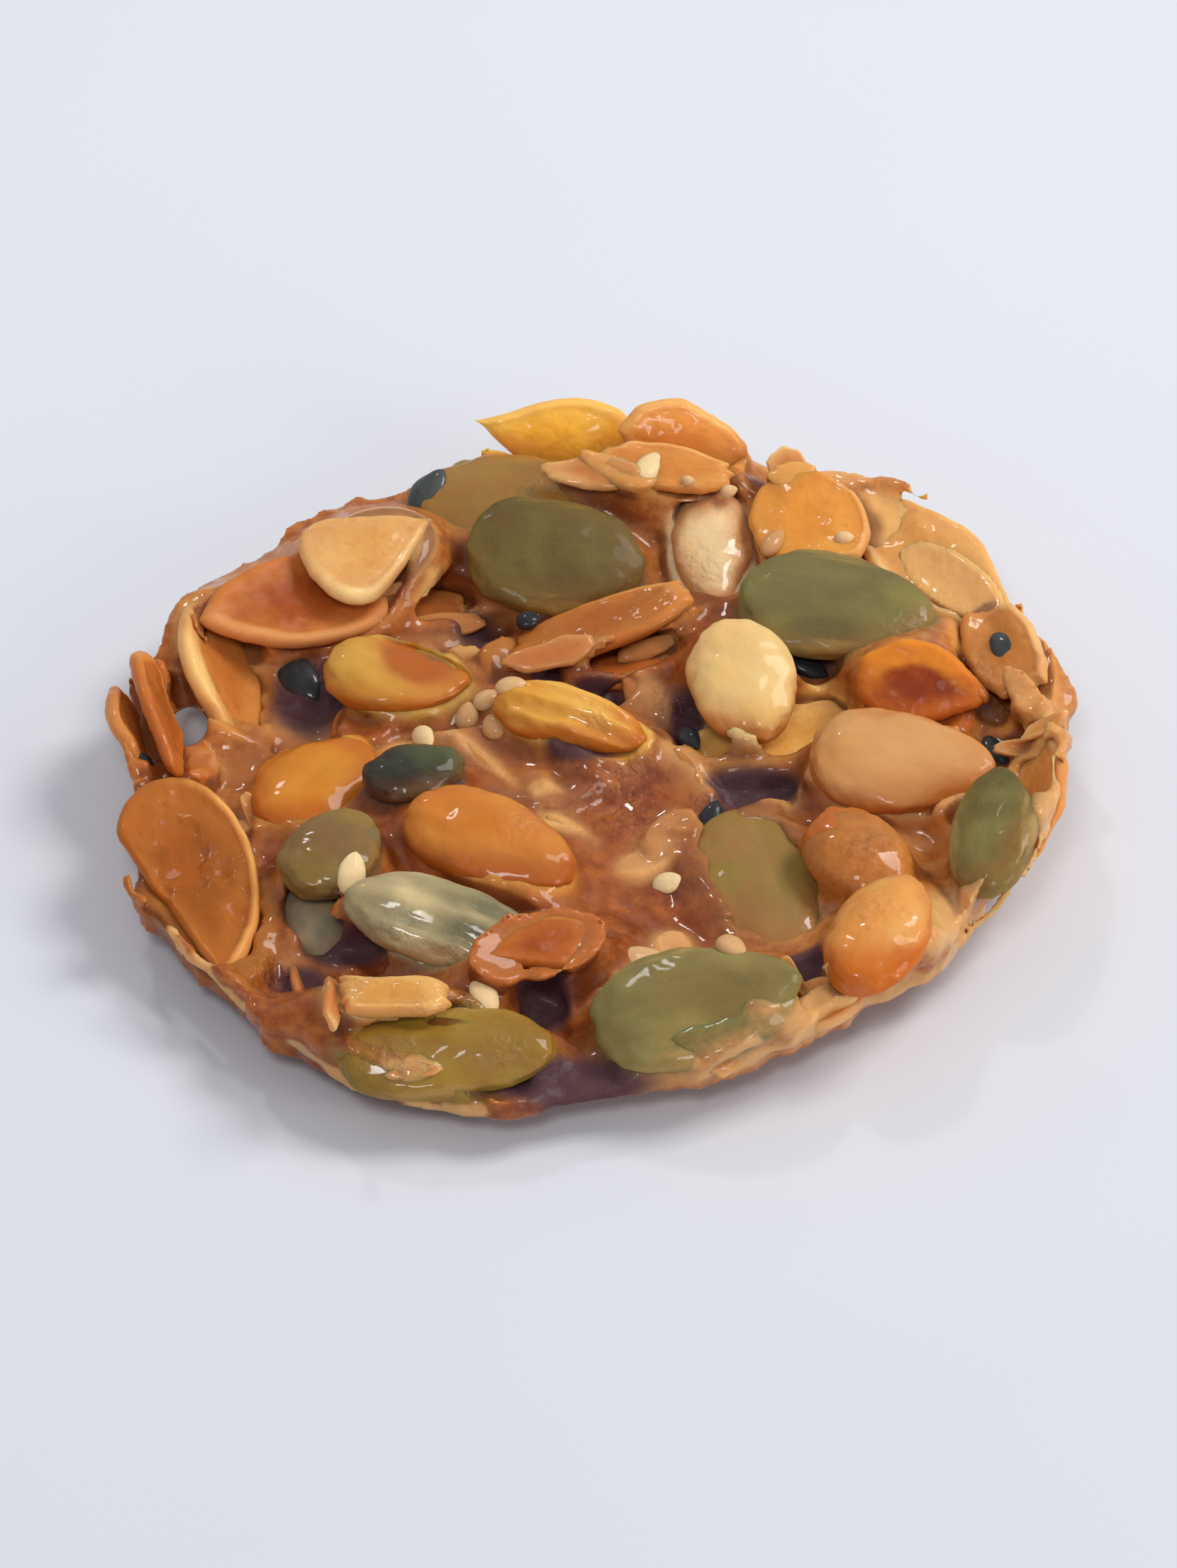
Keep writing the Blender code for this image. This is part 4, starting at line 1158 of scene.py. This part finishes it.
def caramelFinish():
    # thin caramel is golden, thick is red-brown, deep gaps are painted maroon as shade, hollows are painted
    # dark as shade, the rim is pale partly as painted light, and the topping shows through where the caramel
    # is only a film
    finish = Finish("setCaramel", Subsurface_Weight=0.6, Subsurface_Radius=(1.0, 0.45, 0.2),
                    Subsurface_Scale=0.0013, Specular_IOR_Level=0.12, Coat_Roughness=0.05, IOR=1.5)
    thin, film, crevice, soot, amber, pale = (finish.mask(key) for key in
                                              ("thin", "film", "crevice", "soot", "amber", "pale"))
    tint = {key: glazedColour(*value) for key, value in caramelColours.items()}
    cloud = finish.noise(3.4, 4.0, 0.6)
    small = finish.noise(0.9, 4.0, 0.6)
    fine = finish.noise(0.32, 3.0, 0.65)
    stops = ((0.34, tint["dark"]), (0.5, tint["middle"]), (0.64, tint["light"]))
    colour = finish.node("ShaderNodeValToRGB", {"stops": stops}, {0: cloud * 0.65 + small * 0.35})
    orange = (thin.between(0.2, 0.9) * 0.4 + amber + (cloud - 0.5) * 0.8).between(0.1, 1.0)
    golden = finish.mix(small.between(0.35, 0.65), tint["amber"], tint["gold"])
    colour = finish.mix(orange * 0.85, colour, golden)
    colour = finish.mix(film * 0.85, colour, finish.mask("below", "Color"))
    # painted shade in the crevices
    colour = finish.mix(crevice.between(0.35, 1.0) * 0.7, colour, tint["crevice"])
    # pale thin rim caramel, partly painted light
    colour = finish.mix((pale + (small - 0.5) * 0.35).between(0.1, 0.75) * 0.85, colour, tint["pale"])
    # painted shade in the hollows
    colour = finish.mix(soot * 0.95, colour, tint["soot"])
    colour = finish.shade(colour, 0.9 + small * 0.14 + fine * 0.08)
    spots = finish.noise(1.6, 3.0, 0.6).between(0.5, 0.62) * (1 - film) * 0.7
    gloss = finish.mask("gloss")
    wet = (spots + gloss).between(0.0, 1.0) * (1 - soot)
    height = small * 0.7 + fine * 0.12 + cloud * 1.0 + finish.crinkle(gloss)
    return finish.feed(Base_Color=colour, Roughness=0.4 - wet * 0.24 + fine * 0.08,
                       Coat_Weight=(0.35 + wet * 0.65) * (1 - soot * 0.9),
                       Normal=finish.bump(height, 0.22, 0.8))


caramelPiece.data.materials.append(caramelFinish())
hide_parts("caramel")
print("caramel skin made")


def seedlet(length, width, thickness, rows=12, columns=16):
    # a small teardrop: the outline closes as (1 + s)^0.5 (1 - s)^0.7
    u = np.linspace(0, math.pi, rows + 2)[:, None]
    v = np.linspace(0, 2 * math.pi, columns, endpoint=False)[None, :]
    s = -np.cos(u) + 0 * v
    outline = np.maximum(1 + s, 0) ** 0.5 * np.maximum(1 - s, 0) ** 0.7 / 1.02
    across, up = outline * np.cos(v) * width / 2, outline * np.sin(v) * thickness / 2
    return closeSkin(np.stack([s * length / 2, across, up], -1)), skinFaces(rows, columns)


def laidAxes(normal, heading):
    # the heading is a compass seen from above, pressed onto the surface
    angle = math.radians(heading)
    along = np.array((math.cos(angle), math.sin(angle), 0.0))
    along = unit(along - normal * (along @ normal))
    return np.stack([along, np.cross(normal, along), normal])


def scatterSeedlets(title, places, finish, thickness=0.9):
    # small seeds where the line of sight meets the cookie, joined to one piece
    skins = []
    for index, (x, y, length, width, heading, tint, *push) in enumerate(places):
        place, normal = seenPoint(x, y, *push)
        normal = unit(normal + np.array((0.0, -0.35, 0.5)))
        points, faces = seedlet(length, width, thickness)
        points = points * (1 + 0.06 * roughNoise(points + index * 9, 1.4, 900 + index))[:, None]
        placed = place + normal * thickness * 0.12 + points @ laidAxes(normal, heading)
        masks = dict(tint=np.full(len(points), tint), grain=(points + 11.0 * index) * mm)
        skins.append((placed, faceOutward(placed - placed.mean(0), faces), masks))
    points, faces, masks = joinSkins(skins)
    piece = makePiece(title, points, faces, dict(tint=masks["tint"]), vectors=dict(grain=masks["grain"]))
    piece.data.materials.append(finish)


def whiteSesameFinish():
    finish = Finish("toastedSesame", Subsurface_Weight=0.3, Subsurface_Radius=(1.0, 0.6, 0.35),
                    Subsurface_Scale=0.0008, Specular_IOR_Level=0.12, Coat_Roughness=0.1, IOR=1.45)
    cloud = finish.noise(1.1, 3.0, 0.6, (0.5, 1, 1), finish.grain())
    fine = finish.noise(0.25, 3.0, 0.6)
    toasted = (finish.mask("tint") + (cloud - 0.5) * 0.5).between(0.0, 1.0)
    colour = finish.mix(toasted, linearColour(238, 208, 156), linearColour(200, 144, 88))
    colour = finish.shade(colour, 0.9 + fine * 0.15)
    return finish.feed(Base_Color=colour, Roughness=0.4 + fine * 0.15,
                       Coat_Weight=cloud.between(0.4, 0.7) * 0.6, Normal=finish.bump(fine, 0.05, 0.6))


def blackSesameFinish():
    finish = Finish("blackSesame", Subsurface_Weight=0.05, Subsurface_Scale=0.0004, Specular_IOR_Level=0.12,
                    Coat_Roughness=0.08, IOR=1.5)
    cloud = finish.noise(1.0, 3.0, 0.6, (0.5, 1, 1), finish.grain())
    fine = finish.noise(0.22, 3.0, 0.6)
    faded = (finish.mask("tint") + (cloud - 0.5) * 0.6).between(0.0, 1.0)
    colour = finish.mix(faded, linearColour(38, 37, 40), linearColour(84, 88, 84))
    return finish.feed(Base_Color=colour, Roughness=0.36 + fine * 0.2,
                       Coat_Weight=cloud.between(0.35, 0.7) * 0.8, Normal=finish.bump(fine, 0.06, 0.8))


# sesame: x, y, length, width, heading, tint from pale to dark and perhaps a push into the cookie
whitePlaces = (
    (4.0, 31.8, 2.9, 1.8, 65, 0.05), (-10.3, 4.4, 2.2, 1.4, -70, 0.3), (-14.6, -8.6, 2.9, 1.8, 88, 0.0),
    (-6.3, -20.2, 2.7, 1.8, -62, 0.35), (5.0, -9.7, 2.2, 1.7, 0, 0.15), (3.3, -16.8, 3.4, 1.8, 15, 0.6),
    (8.7, -15.5, 2.1, 1.6, -40, 0.7), (16.4, 24.4, 1.3, 1.1, 0, 0.4), (11.8, 24.0, 2.4, 1.3, 60, 0.8),
    (-7.6, 6.6, 1.9, 1.6, 80, 0.7), (-6.4, 8.2, 1.8, 1.5, 30, 0.6), (-4.9, 9.5, 2.1, 1.5, 0, 0.55),
    (-6.0, 5.6, 1.8, 1.5, 100, 0.75), (9.0, 29.4, 1.2, 0.9, 60, 0.5), (6.4, 30.2, 1.0, 0.8, 0, 0.5),
)
blackPlaces = (
    (-10.3, 29.4, 3.6, 2.3, 50, 0.6), (-3.8, 16.1, 1.6, 1.5, 0, 0.0), (-18.3, 10.4, 3.8, 2.3, -60, 0.3),
    (13.6, 11.8, 3.6, 1.8, -30, 0.0), (26.4, 12.8, 3.6, 1.7, -70, 0.4), (25.6, 2.6, 3.4, 1.6, -65, 0.25),
    (-27.9, 1.2, 2.4, 1.6, -75, 0.2, 1.2), (7.6, -3.4, 2.6, 1.6, 70, 0.2),
    (6.4, 4.4, 2.6, 1.4, -60, 0.2),
)
scatterSeedlets("whiteSesame", whitePlaces, whiteSesameFinish())
scatterSeedlets("blackSesame", blackPlaces, blackSesameFinish())
print("sesame seeds made:", len(whitePlaces) + len(blackPlaces))


def floorFinish():
    finish = Finish("paleTable", Roughness=0.55, IOR=1.4)
    place = finish.node("ShaderNodeTexCoord", None, None, "Object")
    # painted light falloff: the floor is darker towards the front and lighter towards the back
    paintedFalloff = finish.node("ShaderNodeSeparateXYZ", None, {0: place}, 1).between(-0.16, 0.16)
    paintedFalloff = paintedFalloff + (finish.noise(60.0, 2.0, 0.5) - 0.5) * 0.3
    colour = finish.mix(paintedFalloff.between(0.0, 1.0), linearColour(212, 214, 219), linearColour(225, 226, 231))
    return finish.feed(Base_Color=colour)


floorHalf = 1800.0
floorCorners = np.array(((-1, -1, 0), (1, -1, 0), (1, 1, 0), (-1, 1, 0))) * floorHalf
floor = makePiece("floor", floorCorners, np.array(((0, 1, 2, 3),)))
floor.data.materials.append(floorFinish())

studio = dict(
    colour=(227, 231, 243), strength=0.455,
    # each light: place in metres, side of its square, power, colour
    windowLight=((0.54, 0.20, 0.72), 0.36, 4.7, (1.0, 0.98, 0.95)),
    frontLight=((-0.10, -0.62, 0.78), 0.20, 2.3, (1, 1, 1)),
    sideLight=((0.72, -0.46, 0.34), 0.30, 1.8, (1.0, 0.98, 0.96)),
    glintLight=((-0.24, 0.60, 0.74), 0.09, 0.9, (1, 1, 1)),
)
world = bpy.data.worlds.new("studio")
bpy.context.scene.world = world
world.use_nodes = True
background = world.node_tree.nodes["Background"]
background.inputs["Color"].default_value = (*linearColour(*studio["colour"]), 1)
background.inputs["Strength"].default_value = studio["strength"]


def aim(thing, target):
    # turns a lamp or a camera so that it looks at the target
    thing.rotation_euler = (Vector(target) - thing.location).to_track_quat("-Z", "Y").to_euler()


for name in ("windowLight", "frontLight", "sideLight", "glintLight"):
    place, size, power, colour = studio[name]
    light = bpy.data.lights.new(name, "AREA")
    light.shape = "SQUARE"
    light.size, light.energy, light.color = size, power, colour
    lamp = bpy.data.objects.new(name, light)
    bpy.context.scene.collection.objects.link(lamp)
    lamp.location = place
    aim(lamp, (0, 0, 0))

focus = np.array((sight["shiftX"], sight["shiftY"], sight["level"]))
upward = math.radians(sight["angle"])
standpoint = focus + cameraView["distance"] * np.array((0.0, -math.cos(upward), math.sin(upward)))
cameraData = bpy.data.cameras.new("camera")
cameraData.lens = cameraView["lens"]
cameraData.sensor_width = 36.0
cameraData.clip_start, cameraData.clip_end = 0.01, 20.0
camera = bpy.data.objects.new("camera", cameraData)
bpy.context.scene.collection.objects.link(camera)
camera.location = Vector(standpoint * mm)
aim(camera, focus * mm)
bpy.context.scene.camera = camera
bpy.context.scene.view_settings.view_transform = "Standard"
bpy.context.scene.view_settings.look = "None"
print("floor, light and camera placed")
